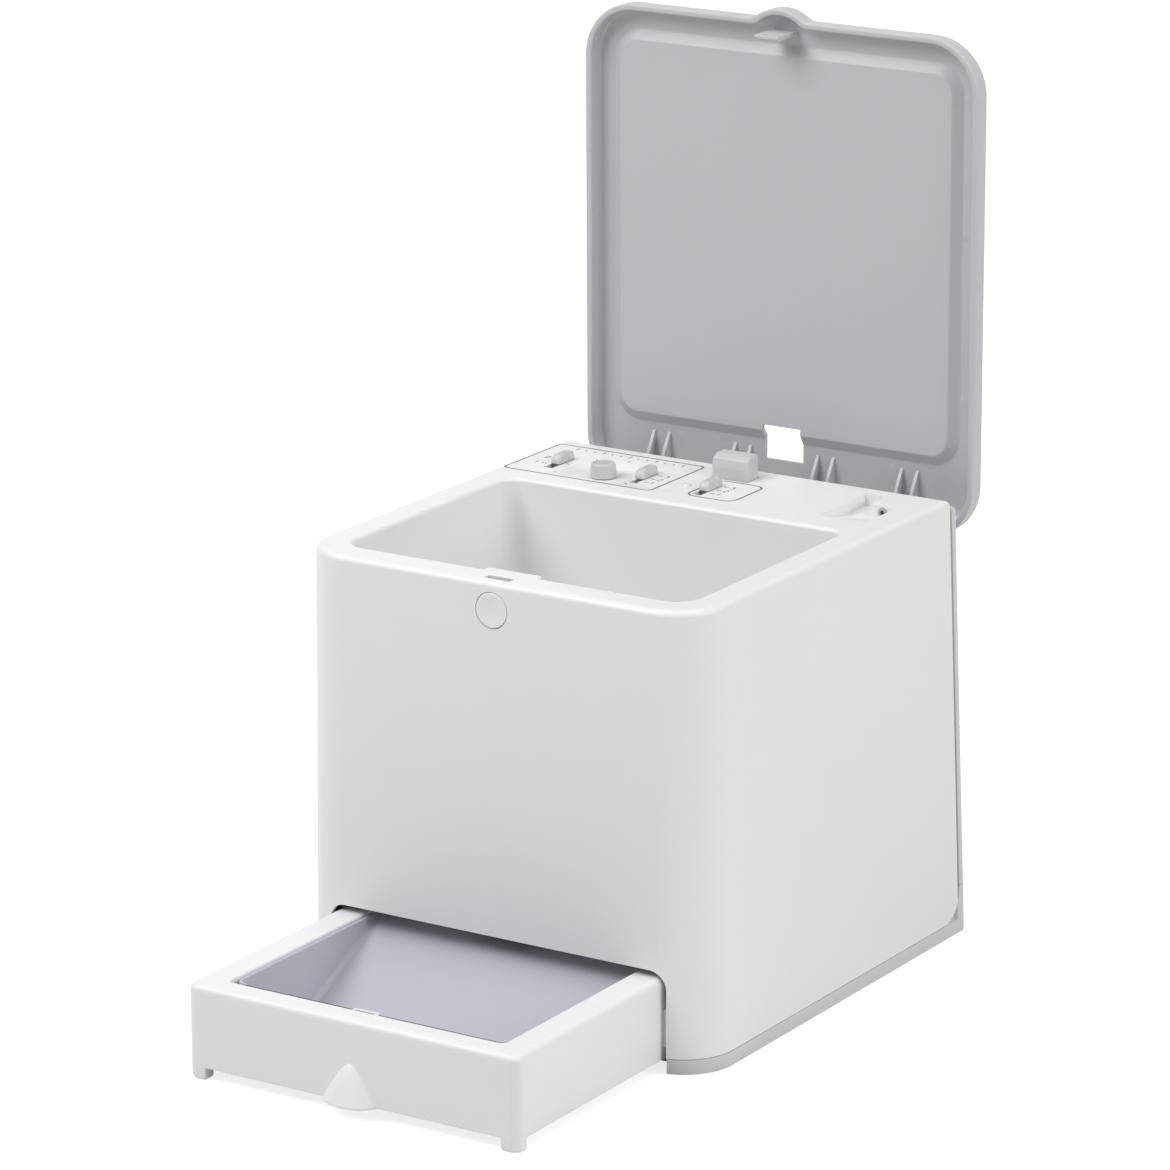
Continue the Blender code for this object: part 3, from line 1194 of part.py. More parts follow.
def make_chute():
    """Square duct that leads forward and down from the outlet to the rear of the drawer's dish."""
    top = FLOOR_BOTTOM - GAP
    bottom = PLATFORM_BOTTOM - CHUTE_EXIT_LIFT
    exit_front = FRONT + WALL + CHUTE_WALL + GAP

    def section(spread):
        upper = rounded_rectangle(-CHUTE_HALF - spread, CHUTE_HALF + spread, OUTLET_Y - CHUTE_HALF - spread,
                                  OUTLET_Y + CHUTE_HALF + spread, WALL, 2)
        lower = rounded_rectangle(-CHUTE_HALF - spread, CHUTE_HALF + spread, exit_front - spread,
                                  exit_front + CHUTE_EXIT_DEPTH + spread, WALL, 2)
        return lower, upper

    lower, upper = section(CHUTE_WALL)
    chute = part("chute", loft([at_height(lower, bottom), at_height(upper, top)]), "white")
    flange = rounded_rectangle(-CHUTE_HALF - CHUTE_FLANGE, CHUTE_HALF + CHUTE_FLANGE,
                               OUTLET_Y - CHUTE_HALF - CHUTE_FLANGE,
                               OUTLET_Y + CHUTE_HALF + CHUTE_WALL, WALL, 2)
    fuse(chute, outline_solid([flange], top - CHUTE_WALL, top + SINK / 4))
    lower, upper = section(0)
    slope = Vector((0, (OUTLET_Y - CHUTE_HALF - exit_front) / (top - bottom), 1))
    below = [(x, y - slope.y * OVERRUN) for x, y in lower]
    above = [(x, y + slope.y * OVERRUN) for x, y in upper]
    cut(chute, loft([at_height(below, bottom - OVERRUN), at_height(lower, bottom), at_height(upper, top),
                     at_height(above, top + OVERRUN)]))
    return chute


COLUMN_PLACE = 0.0620
COLUMN_RADIUS = 0.0035
PLATFORM_REAR = 0.0400
PLATFORM_MARGIN = 0.00655
PLATFORM_FRONT = FRONT + PLATFORM_MARGIN
PLATFORM_CORNER = 0.0200
BEARING_POST_RADIUS = 0.0060


def make_mechanism_frame():
    """Plate on four legs over the drawer, with columns for the hopper floor and a post under the shaft."""
    half = LEG_X + LEG_SIZE[0] / 2
    loop = rounded_rectangle(-half, half, PLATFORM_FRONT, PLATFORM_REAR,
                             (PLATFORM_CORNER, WALL, WALL, PLATFORM_CORNER), 4)
    frame = part("mechanism_frame", outline_solid([loop], PLATFORM_BOTTOM, PLATFORM_TOP), "white")
    notch = CHUTE_HALF + CHUTE_WALL + GAP
    exit_rear = FRONT + WALL + 2 * CHUTE_WALL + GAP + CHUTE_EXIT_DEPTH + WALL
    cut(frame, box((-notch, FRONT - OVERRUN, PLATFORM_BOTTOM - SINK),
                   (notch, exit_rear, PLATFORM_TOP + SINK)))
    for side in (-1, 1):
        x = side * LEG_X
        for y in LEG_PLACES:
            fuse(frame, box((x - LEG_SIZE[0] / 2 + SINK / 4, y - LEG_SIZE[1] / 2, BASE_TOP_OF_FLOOR + GAP),
                            (x + LEG_SIZE[0] / 2 - SINK / 4, y + LEG_SIZE[1] / 2, PLATFORM_BOTTOM + SINK)))
        for step in (-1, 1):
            place = (side * COLUMN_PLACE, WELL_CENTRE_Y + step * COLUMN_PLACE)
            fuse(frame, cylinder(place, COLUMN_RADIUS, PLATFORM_TOP - SINK, FLOOR_BOTTOM - GAP,
                                 segments=14))
    fuse(frame, cylinder((0, WELL_CENTRE_Y), BEARING_POST_RADIUS, PLATFORM_TOP - SINK, SHAFT_BOTTOM - GAP,
                         segments=16))
    return frame


# Drive

SHAFT_BOTTOM = 0.0920
GEAR_LOW = 0.0950
GEAR_WIDTH = 0.0060
GEAR_HUB_HEIGHT = 0.0040
LARGE_GEAR_LOW = 0.0880
LARGE_GEAR_WIDTH = 0.0050
SMALL_GEAR_TOP = 0.1030
BRACKET_LOW = 0.0843
BRACKET_THICKNESS = 0.0020
MOTOR_RADIUS = 0.0122
MOTOR_BOSS = 0.0030
MOTOR_SHAFT = 0.0010
IDLER_PIN_TOP = 0.1060
POST_RADIUS = 0.0030


def idler_place():
    distance = SLOW_MODULE * (WHEEL_TEETH + PINION_TEETH) / 2
    return (distance * math.cos(IDLER_ANGLE), WELL_CENTRE_Y + distance * math.sin(IDLER_ANGLE))


def motor_place():
    distance = FAST_MODULE * (WHEEL_TEETH + PINION_TEETH) / 2
    x, y = idler_place()
    return (x + distance * math.cos(PINION_ANGLE), y + distance * math.sin(PINION_ANGLE))


ROOT_SHARE = 1.25
ROOT_HALF_SHARE = 0.33
TIP_HALF_SHARE = 0.11


def gear_loop(module, teeth, phase):
    """Outline of a spur gear with one tooth pointing along the phase angle."""
    pitch = math.tau / teeth
    root = module * (teeth / 2 - ROOT_SHARE)
    tip = module * (teeth / 2 + 1)
    points = []
    for index in range(teeth):
        middle = phase + index * pitch
        for radius, share in ((root, -ROOT_HALF_SHARE), (tip, -TIP_HALF_SHARE), (tip, TIP_HALF_SHARE),
                              (root, ROOT_HALF_SHARE)):
            angle = middle + share * pitch
            points.append((radius * math.cos(angle), radius * math.sin(angle)))
    return points


def gear_solid(module, teeth, phase, low, high):
    return outline_solid([gear_loop(module, teeth, phase)], low, high)


def make_disc_drive():
    """Steel shaft of the disc and the output gear on it."""
    top = DISC_TOP + GAP + SHAFT_SOCKET - GAP
    shaft = part("disc_shaft", cylinder((0, 0), SHAFT_RADIUS, 0, top - SHAFT_BOTTOM), "steel")
    shaft.location = (0, WELL_CENTRE_Y, SHAFT_BOTTOM)
    gear = part("output_gear", gear_solid(SLOW_MODULE, WHEEL_TEETH, IDLER_ANGLE, 0, GEAR_WIDTH), "acetal")
    fuse(gear, cylinder((0, 0), HUB_RADIUS, GEAR_WIDTH - SINK, GEAR_WIDTH + GEAR_HUB_HEIGHT))
    cut(gear, cylinder((0, 0), SHAFT_RADIUS + RUNNING_FIT, -OVERRUN, GEAR_WIDTH + OVERRUN))
    gear.location = (0, WELL_CENTRE_Y, GEAR_LOW)


def make_idler():
    """Idler with a large and a small gear in one, on its pin."""
    x, y = idler_place()
    small_phase = IDLER_ANGLE + math.pi + math.pi / PINION_TEETH
    idler = part("idler_gear", gear_solid(FAST_MODULE, WHEEL_TEETH, PINION_ANGLE, 0, LARGE_GEAR_WIDTH),
                 "acetal")
    fuse(idler, gear_solid(SLOW_MODULE, PINION_TEETH, small_phase, LARGE_GEAR_WIDTH - SINK,
                           SMALL_GEAR_TOP - LARGE_GEAR_LOW))
    cut(idler, cylinder((0, 0), PIN_RADIUS + RUNNING_FIT, -OVERRUN, SMALL_GEAR_TOP, segments=16))
    idler.location = (x, y, LARGE_GEAR_LOW)
    pin = part("idler_pin", cylinder((0, 0), PIN_RADIUS, 0, IDLER_PIN_TOP - BRACKET_LOW, segments=16),
               "steel")
    pin.location = (x, y, BRACKET_LOW)


def make_motor():
    """Can motor standing on the frame plate, with its pinion and shaft above."""
    x, y = motor_place()
    bottom = PLATFORM_TOP + GAP
    top = BRACKET_LOW - GAP
    socket = top - MOTOR_RADIUS / 2
    boss_top = BRACKET_LOW + BRACKET_THICKNESS
    bore = MOTOR_SHAFT + RUNNING_FIT
    profile = [(0, socket), (bore, socket), (bore, boss_top), (MOTOR_BOSS, boss_top), (MOTOR_BOSS, top),
               (MOTOR_RADIUS - MOTOR_SHAFT, top), (MOTOR_RADIUS, top - MOTOR_SHAFT), (MOTOR_RADIUS, bottom),
               (0, bottom)]
    motor = part("motor",
                 turned_object("motor", [(radius, height - bottom) for radius, height in profile], 16),
                 "steel")
    motor.location = (x, y, bottom)
    low = LARGE_GEAR_LOW - GAP
    phase = PINION_ANGLE + math.pi + math.pi / PINION_TEETH
    pinion = part("motor_pinion", gear_solid(FAST_MODULE, PINION_TEETH, phase, 0, LARGE_GEAR_WIDTH),
                  "acetal")
    fuse(pinion, cylinder((0, 0), MOTOR_SHAFT, socket + GAP - low, LARGE_GEAR_WIDTH - SINK, segments=12))
    pinion.location = (x, y, low)


def make_gear_bracket():
    """Plate over the motor that holds the idler pin, on posts from the frame plate."""
    motor_x, motor_y = motor_place()
    idler_x, idler_y = idler_place()
    reach = MOTOR_RADIUS + POST_RADIUS + WALL
    low_x, high_x = idler_x - 2 * POST_RADIUS, motor_x + reach
    low_y, high_y = idler_y - reach, motor_y + reach
    loop = rounded_rectangle(low_x, high_x, low_y, high_y, POST_RADIUS, 3)
    bracket = part("gear_bracket", outline_solid([loop], BRACKET_LOW, BRACKET_LOW + BRACKET_THICKNESS),
                   "white")
    for place in ((low_x + POST_RADIUS + SINK, low_y + POST_RADIUS + SINK),
                  (low_x + POST_RADIUS + SINK, high_y - POST_RADIUS - SINK),
                  (high_x - POST_RADIUS - SINK, low_y + POST_RADIUS + SINK),
                  (high_x - POST_RADIUS - SINK, high_y - POST_RADIUS - SINK)):
        fuse(bracket, cylinder(place, POST_RADIUS, PLATFORM_TOP + GAP, BRACKET_LOW + SINK, segments=12))
    cut(bracket, cylinder((motor_x, motor_y), MOTOR_BOSS + GAP, BRACKET_LOW - SINK, BRACKET_LOW + OVERRUN,
                          segments=20))
    cut(bracket, cylinder((idler_x, idler_y), PIN_RADIUS + RUNNING_FIT, BRACKET_LOW - SINK,
                          BRACKET_LOW + OVERRUN / 4, segments=16))


# Buttons, sliders and dial

BUTTON_THICKNESS = 0.0034
BUTTON_PROUD = 0.0003
HOOK_THICKNESS = 0.0015
HOOK_HALF = 0.0040
HOOK_REACHES = (0.0070, 0.0090)
HOOK_BOTTOM = BUTTON_HEIGHT - HOOK_REACHES[0]
HOOK_TOP = BUTTON_HEIGHT + HOOK_REACHES[1]
STEM_HALF = 0.0030
STEM_DROP = 0.0015
STEM_TOP = BUTTON_HEIGHT - STEM_DROP
TOOTH_REACH = 0.0008
TOOTH_SLOPE = 0.0016
LATCH_PLAY = 0.0008
RELEASE_COIL = 0.0022
RELEASE_WIRE = 0.0003


def make_release_latch():
    """Round front button with the hook behind it that holds the lid's tongue, and the return spring."""
    face = FRONT - BUTTON_PROUD
    button_rear = face + BUTTON_THICKNESS
    button = cylinder((0, BUTTON_HEIGHT), BUTTON_RADIUS, face, button_rear, "Y", 28)
    round_edges(button, BUTTON_PROUD, 2, both_at(1, face))
    pivot_at(part("release_button", button, "white"), (0, face, BUTTON_HEIGHT))
    tongue_rear = TONGUE_Y + TONGUE_THICKNESS / 2
    hook_front = tongue_rear + LATCH_PLAY + TOOTH_REACH
    hook = box((-HOOK_HALF, hook_front, HOOK_BOTTOM), (HOOK_HALF, hook_front + HOOK_THICKNESS, HOOK_TOP))
    hook = part("latch_hook", hook, "acetal")
    fuse(hook, box((-STEM_HALF, button_rear + GAP, HOOK_BOTTOM + SINK),
                   (STEM_HALF, hook_front + SINK, STEM_TOP)))
    tooth_top = HOOK_TOP - SINK
    tooth = [(hook_front + SINK, tooth_top), (hook_front - TOOTH_REACH, tooth_top - TOOTH_SLOPE),
             (hook_front + SINK, tooth_top - 2 * TOOTH_SLOPE)]
    fuse(hook, outline_solid([tooth], -STEM_HALF, STEM_HALF, "YZ"))
    pivot_at(hook, (0, hook_front, BUTTON_HEIGHT))
    spring_low = hook_front + HOOK_THICKNESS + GAP
    spring_high = WELL_FRONT - WALL - GAP
    coil = helix_mesh(RELEASE_COIL, RELEASE_WIRE, 0, spring_high - spring_low, 3)
    coil.transform(Matrix.Translation((0, spring_low,
                                       HOOK_BOTTOM + 2 * RELEASE_COIL)) @ Matrix.Rotation(math.radians(-90),
                                                                                          4, "X"))
    part("release_spring", coil, "steel")


FLANGE_REACH = 0.0016
FLANGE_THICKNESS = 0.0030
BLOCK_ROUND = 0.0015
BLOCK_SLOPE = 0.0045
STEM_RADIUS = 0.0022
PLUNGER_SHARE = 0.8
SWITCH_HALF = 0.0030
SWITCH_HEIGHT = 0.0041
DISPENSE_COIL = 0.0054
DISPENSE_WIRE = 0.0003


def make_dispense_button():
    """Grey block that stands up through the deck and the closed lid, with its stem, spring and switch."""
    half_x, half_y = BLOCK_WIDTH / 2, BLOCK_DEPTH / 2
    flange_top = DECK_UNDERSIDE - GAP
    flange_low = flange_top - FLANGE_THICKNESS
    top = DECK_HEIGHT + BLOCK_HEIGHT
    side = [(BLOCK_Y - half_y, flange_low + SINK), (BLOCK_Y + half_y, flange_low + SINK),
            (BLOCK_Y + half_y, top),
            (BLOCK_Y - half_y + BLOCK_SLOPE, top),
            (BLOCK_Y - half_y + BLOCK_SLOPE / 4, top - BLOCK_SLOPE / 3),
            (BLOCK_Y - half_y, top - BLOCK_SLOPE)]
    block = outline_solid([side], -half_x, half_x, "YZ")
    round_edges(block, BLOCK_ROUND, 2, lambda first,
                second: min(first.z, second.z) > DECK_HEIGHT + BLOCK_SLOPE
                or (abs(first.x - second.x) < WELD and abs(first.y - second.y) < WELD and first.y < BLOCK_Y))
    button = part("dispense_button", block, "key")
    fuse(button, box((-half_x - FLANGE_REACH, BLOCK_Y - half_y - FLANGE_REACH, flange_low),
                     (half_x + FLANGE_REACH, BLOCK_Y + half_y + FLANGE_REACH, flange_top)))
    switch_top = BOARD_TOP + GAP + SWITCH_HEIGHT
    fuse(button, cylinder((0, BLOCK_Y), STEM_RADIUS, switch_top + BLOCK_TRAVEL + GAP, flange_low + SINK,
                          segments=14))
    pivot_at(button, (0, BLOCK_Y, DECK_HEIGHT))
    coil = helix_mesh(DISPENSE_COIL, DISPENSE_WIRE, BOARD_TOP + GAP, flange_low - GAP, 4)
    coil.transform(Matrix.Translation((0, BLOCK_Y, 0)))
    part("dispense_spring", coil, "steel")
    body = box((-SWITCH_HALF, BLOCK_Y - SWITCH_HALF, BOARD_TOP + GAP),
               (SWITCH_HALF, BLOCK_Y + SWITCH_HALF, switch_top - SINK))
    switch = part("dispense_switch", body, "switch")
    fuse(switch, cylinder((0, BLOCK_Y), STEM_RADIUS * PLUNGER_SHARE, switch_top - 2 * SINK, switch_top,
                          segments=12))


SWITCH_BODY = (0.0070, 0.0200)
NECK_DROP = 0.0115
NECK_BOTTOM = DECK_HEIGHT - NECK_DROP
KNURL_DEPTH = 0.0005


def make_slider(label, place):
    """Slide switch cap with a ridged top, standing at the rear end of its slot, and the switch below it."""
    x, y = place
    cap_x, cap_y = SLIDER_CAP[0] / 2, SLIDER_CAP[1] / 2
    low = DECK_HEIGHT + GAP
    high = low + SLIDER_CAP_HEIGHT
    taper_share = 0.85
    loops = [at_height(rounded_rectangle(x - cap_x, x + cap_x, y - cap_y, y + cap_y, SINK, 2), low),
             at_height(rounded_rectangle(x - cap_x * taper_share, x + cap_x * taper_share,
                                         y - cap_y * taper_share,
                                         y + cap_y * taper_share, SINK, 2), high)]
    cap = part(f"{label}_slider", loft(loops), "key")
    neck_x, neck_y = SLIDER_NECK[0] / 2, SLIDER_NECK[1] / 2
    fuse(cap, box((x - neck_x, y - neck_y, NECK_BOTTOM), (x + neck_x, y + neck_y, low + SINK)))
    for step in (-1, 0, 1):
        groove = y + step * cap_y / 3
        cut(cap, box((x - 2 * cap_x, groove - KNURL_DEPTH, high - KNURL_DEPTH),
                     (x + 2 * cap_x, groove + KNURL_DEPTH, high + SINK)))
    pivot_at(cap, (x, y, low))
    body_x, body_y = SWITCH_BODY[0] / 2, SWITCH_BODY[1] / 2
    middle = y - SLIDER_TRAVEL / 2
    body = box((x - body_x, middle - body_y, BOARD_TOP + GAP),
               (x + body_x, middle + body_y, NECK_BOTTOM - GAP))
    part(f"{label}_switch", body, "switch")


DIAL_RADIUS = 0.0064
DIAL_TOP_RADIUS = 0.0059
DIAL_HEIGHT = 0.0069
DIAL_WELL_RADIUS = 0.0036
DIAL_WELL_DEPTH = 0.0020
POT_RADIUS = 0.0085
POT_DROP = 0.0125
POT_TOP = DECK_HEIGHT - POT_DROP


def make_dial():
    """Turning knob with a hollow top and its shaft, over the potentiometer on the board."""
    x, y = DIAL_PLACE
    low = DECK_HEIGHT - DIAL_DISH_DEPTH + GAP
    high = low + DIAL_HEIGHT
    edge = SINK / 2
    profile = [(0, high), (DIAL_TOP_RADIUS - edge, high), (DIAL_TOP_RADIUS, high - edge),
               (DIAL_RADIUS, low),
               (DIAL_SHAFT_RADIUS, low), (DIAL_SHAFT_RADIUS, POT_TOP + GAP), (0, POT_TOP + GAP)]
    knob = part("dial_knob",
                turned_object("dial_knob", [(radius, height - low) for radius, height in profile], 18),
                "key")
    offset = DIAL_TOP_RADIUS - DIAL_WELL_RADIUS - SINK
    cut(knob, cylinder((-offset, 0), DIAL_WELL_RADIUS, DIAL_HEIGHT - DIAL_WELL_DEPTH, DIAL_HEIGHT + OVERRUN,
                       segments=20))
    knob.location = (x, y, low)
    part("dial_pot", cylinder(DIAL_PLACE, POT_RADIUS, BOARD_TOP + GAP, POT_TOP, segments=20), "switch")


LED_DOME = 0.0008
DOME_SHARE = 0.8
LED_DEPTH = 0.0060
JACK_PROUD = 0.0006
JACK_BORE = 0.0012
JACK_LENGTH = 0.0100


def make_lens_and_socket():
    """Small indicator lens in the deck, and the round socket in the recess."""
    x, y = LED_PLACE
    profile = [(0, LED_DOME), (LED_RADIUS / 2, LED_DOME * DOME_SHARE), (LED_RADIUS, 0),
               (LED_RADIUS, -LED_DEPTH), (0, -LED_DEPTH)]
    lens = part("led_lens", turned_object("led_lens", profile, 12), "lens")
    lens.location = (x, y, DECK_HEIGHT)
    height = DECK_HEIGHT - JACK_DROP
    front = JACK_BLOCK_FRONT - JACK_PROUD
    socket = part("jack_socket",
                  cylinder((JACK_X, height), JACK_RADIUS, front, front + JACK_LENGTH, "Y", 20), "switch")
    cut(socket, cylinder((JACK_X, height), JACK_BORE, front - OVERRUN, front + JACK_LENGTH - WALL, "Y", 12))


BUZZER_RADIUS = 0.0060
BUZZER_HEIGHT = 0.0070
BUZZER_INSET = (0.0380, 0.01955)
BUZZER_PLACE = (-SIDE + BUZZER_INSET[0], HOOD_REAR - BUZZER_INSET[1])


def make_board():
    """Circuit board on four bosses under the deck, with the sounder below it."""
    loop = rounded_rectangle(BOARD_LEFT, BOARD_RIGHT, BOARD_FRONT, BOARD_REAR, WALL, 2)
    part("control_board", outline_solid([loop], BOARD_BOTTOM, BOARD_TOP), "board")
    high = BOARD_BOTTOM - GAP
    part("buzzer", cylinder(BUZZER_PLACE, BUZZER_RADIUS, high - BUZZER_HEIGHT, high, segments=20), "switch")


# Batteries, door, feet and screws

NUB_RADIUS = 0.0047
CONTACT_SHARE = 0.7
CONTACT_THICKNESS = 0.0006
DOOR_RIB = 0.0016
DOOR_RIB_COUNT = 4


def make_batteries():
    """Four D cells in two rows, and a contact plate at each end of the bay."""
    for row, y in enumerate(CELL_ROWS):
        for column, start in enumerate((-CELL_LENGTH - CELL_NUB - GAP, GAP)):
            flip = row == 1
            body = CELL_LENGTH
            profile = [(0, body + CELL_NUB), (NUB_RADIUS, body + CELL_NUB), (NUB_RADIUS, body),
                       (CELL_RADIUS - SINK, body),
                       (CELL_RADIUS, body - SINK), (CELL_RADIUS, SINK), (CELL_RADIUS - SINK, 0), (0, 0)]
            cell = turned_object("cell", profile, 16)
            cell = part(f"battery_cell_{row * 2 + column + 1}", cell, "cell")
            cell.rotation_euler = (0, math.radians(-90 if flip else 90), 0)
            cell.location = (start + (body + CELL_NUB if flip else 0), y, CELL_HEIGHT)
    low_z = CELL_HEIGHT - CELL_RADIUS * CONTACT_SHARE
    high_z = CELL_HEIGHT + CELL_RADIUS * CONTACT_SHARE
    for label, side in (("left", -1), ("right", 1)):
        near, far = sorted((side * (BAY_HALF - GAP), side * (BAY_HALF - GAP - CONTACT_THICKNESS)))
        part(f"battery_contact_{label}",
             box((near, BAY_FRONT + WALL, low_z), (far, BAY_REAR - WALL, high_z)), "steel")


def make_battery_door():
    """Door in the underside with ribs that carry the cells, held by one screw."""
    low = BASE_LIFT
    door = part("battery_door", outline_solid([door_loop(0)], low, low + DOOR_THICKNESS), "grey")
    clear = DOOR_LEDGE + GAP
    span = DOOR_HALF - clear - DOOR_RIB
    for index in range(DOOR_RIB_COUNT):
        x = -span + 2 * span * index / (DOOR_RIB_COUNT - 1)
        fuse(door, box((x - DOOR_RIB / 2, DOOR_FRONT + clear, low + DOOR_THICKNESS - SINK),
                       (x + DOOR_RIB / 2, DOOR_REAR - clear, BASE_TOP_OF_FLOOR)))
    cut(door, cylinder(door_screw_place(), SCREW_RADIUS + SCREW_PLAY, low - OVERRUN, low + OVERRUN,
                       segments=12))
    cut(door, cylinder(door_screw_place(), HEAD_RADIUS + GAP, low - OVERRUN, low + HEAD_HEIGHT + GAP,
                       segments=16))


def make_screw(name, place, length, turn=(0, 0, 0)):
    """Pan head screw, head down at its place."""
    profile = [(0, length), (SCREW_RADIUS, length - SCREW_RADIUS), (SCREW_RADIUS, HEAD_HEIGHT),
               (HEAD_RADIUS, HEAD_HEIGHT),
               (HEAD_RADIUS, SCREW_RADIUS / 4), (HEAD_RADIUS - SCREW_RADIUS / 4, 0), (0, 0)]
    screw = part(name, turned_object(name, profile, 8), "steel")
    screw.location = place
    screw.rotation_euler = turn


def make_fasteners_and_feet():
    """Case screws, cover screws, the door's screw and four rubber feet."""
    length = CASE_BOSS_TOP - 2 * WALL - BASE_LIFT
    for index, (x, y) in enumerate(case_screw_places()):
        make_screw(f"case_screw_{index + 1}", (x, y, BASE_LIFT), length / 2)
    back = rear_at(COVER_SCREW_HEIGHT) + BAND
    for label, side in (("left", -1), ("right", 1)):
        make_screw(f"cover_screw_{label}", (side * COVER_SCREW_X, back - GAP, COVER_SCREW_HEIGHT),
                   BAND + WALL,
                   (math.radians(90), 0, 0))
    x, y = door_screw_place()
    make_screw("door_screw", (x, y, BASE_LIFT), BASE_FLOOR + CASE_BOSS_RADIUS)
    for index, (x, y) in enumerate(foot_places()):
        profile = [(0, FOOT_HEIGHT), (FOOT_RADIUS, FOOT_HEIGHT), (FOOT_RADIUS, SINK / 2),
                   (FOOT_RADIUS - SINK / 2, 0), (0, 0)]
        foot = part(f"rubber_foot_{index + 1}", turned_object("foot", profile, 12), "rubber")
        foot.location = (x, y, 0)


for thing in list(bpy.data.objects):
    bpy.data.objects.remove(thing)
MODEL = new_collection("remote_treat_dispenser")
CUTTERS = new_collection("cutters")

make_hood()
make_base()
make_rear_cover()
make_lid()
make_hinge_pins()
make_drawer()
make_tray_insert()
make_hopper_funnel()
make_hopper_floor()
make_metering_disc()
make_stirring_cone()
make_outlet_guard()
make_chute()
make_mechanism_frame()
make_disc_drive()
make_idler()
make_motor()
make_gear_bracket()
make_release_latch()
make_dispense_button()
make_slider("left", LEFT_SLIDER)
make_slider("right", RIGHT_SLIDER)
make_slider("mode", MODE_SLIDER)
make_dial()
make_lens_and_socket()
make_board()
make_batteries()
make_battery_door()
make_fasteners_and_feet()
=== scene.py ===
"""Looks of the remote treat dispenser: its lid stands open and its drawer is pulled out, on a plain white floor."""

import json
import math

import bmesh
import bpy
import numpy as np
from mathutils import Matrix


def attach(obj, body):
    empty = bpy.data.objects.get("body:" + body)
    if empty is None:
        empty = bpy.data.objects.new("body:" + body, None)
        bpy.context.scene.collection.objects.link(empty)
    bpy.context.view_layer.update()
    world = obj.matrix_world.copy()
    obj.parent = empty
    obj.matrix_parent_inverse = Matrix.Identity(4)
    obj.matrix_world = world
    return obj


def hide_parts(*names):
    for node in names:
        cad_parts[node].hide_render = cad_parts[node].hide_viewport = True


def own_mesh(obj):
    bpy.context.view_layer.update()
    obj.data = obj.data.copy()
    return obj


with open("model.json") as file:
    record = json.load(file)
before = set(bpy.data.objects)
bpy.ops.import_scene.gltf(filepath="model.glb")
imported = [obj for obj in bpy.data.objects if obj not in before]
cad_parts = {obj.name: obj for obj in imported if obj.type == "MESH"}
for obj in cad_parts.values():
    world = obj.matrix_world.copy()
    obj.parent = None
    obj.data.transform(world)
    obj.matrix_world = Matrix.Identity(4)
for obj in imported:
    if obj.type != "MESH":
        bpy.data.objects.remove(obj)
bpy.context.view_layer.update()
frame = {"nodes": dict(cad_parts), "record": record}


# The view: a long lens stands to the right of the front and above the deck, so upright edges stay nearly parallel.
# Its place is in metres, and its turn, drop and roll were fitted to the edges of the hood, the lid and the drawer.
VIEW_FROM = (1.3719, -2.1727, 0.9334)
VIEW_TURN = math.radians(32.71)
VIEW_DROP = math.radians(16.18)
VIEW_ROLL = math.radians(-0.25)
FILM_WIDTH = 36.0
FOCAL_LENGTH = 176.82
VIEW_REACH = 20.0
view_ahead = np.array([
    -math.sin(VIEW_TURN) * math.cos(VIEW_DROP),
    math.cos(VIEW_TURN) * math.cos(VIEW_DROP),
    -math.sin(VIEW_DROP),
])
level_right = np.array([math.cos(VIEW_TURN), math.sin(VIEW_TURN), 0.0])
level_up = np.cross(level_right, view_ahead)
view_right = math.cos(VIEW_ROLL) * level_right + math.sin(VIEW_ROLL) * level_up
view_up = math.cos(VIEW_ROLL) * level_up - math.sin(VIEW_ROLL) * level_right
camera_data = bpy.data.cameras.new("view")
camera_data.sensor_width = FILM_WIDTH
camera_data.lens = FOCAL_LENGTH
camera_data.clip_end = VIEW_REACH
camera = bpy.data.objects.new("view", camera_data)
bpy.context.scene.collection.objects.link(camera)
view_axes = Matrix(np.column_stack([view_right, view_up, -view_ahead]).tolist()).to_4x4()
camera.matrix_world = Matrix.Translation(VIEW_FROM) @ view_axes
bpy.context.scene.camera = camera


# The hood: one white moulding of drawn walls, about 2.5 mm thick, that holds everything. Its deck turns down into the
# hopper well, its front is cut for the drawer, and screws hold it to the base and the rear cover. From here on, sizes
# are in millimetres, with the front towards -Y and the table at height 0, and make_piece turns them into metres.
MM = 0.001
DECK = 217.5
FRONT = -114.55
REAR = 114.55
HALF_WIDTH = 108.0
SIDE_LEAN = 3.7
REAR_LEAN = 8.0
HOOD_CORNERS = np.array([25.0, 2.0, 2.0, 25.0])
HOOD_WALL = 2.5
HOOD_LOW = 7.9
DECK_ROUND = 3.0
WELL_HALF = 92.5
WELL_FRONT = -98.0
WELL_BACK = 41.5
WELL_CORNERS = np.array([12.0, 8.0, 8.0, 12.0])
WELL_LOW = 162.3
RIM_ROUND = 2.0
SOFT = 0.6
FAR = 40.0
rise = np.radians(np.linspace(0, 90, 10))


def add_node(tree, kind, **inputs):
    """Shader node of a kind in a node tree, with values on its inputs. A space in an input's name is written _ here."""
    node = tree.nodes.new("ShaderNode" + kind)
    for name, value in inputs.items():
        node.inputs[name.replace("_", " ")].default_value = value
    return node


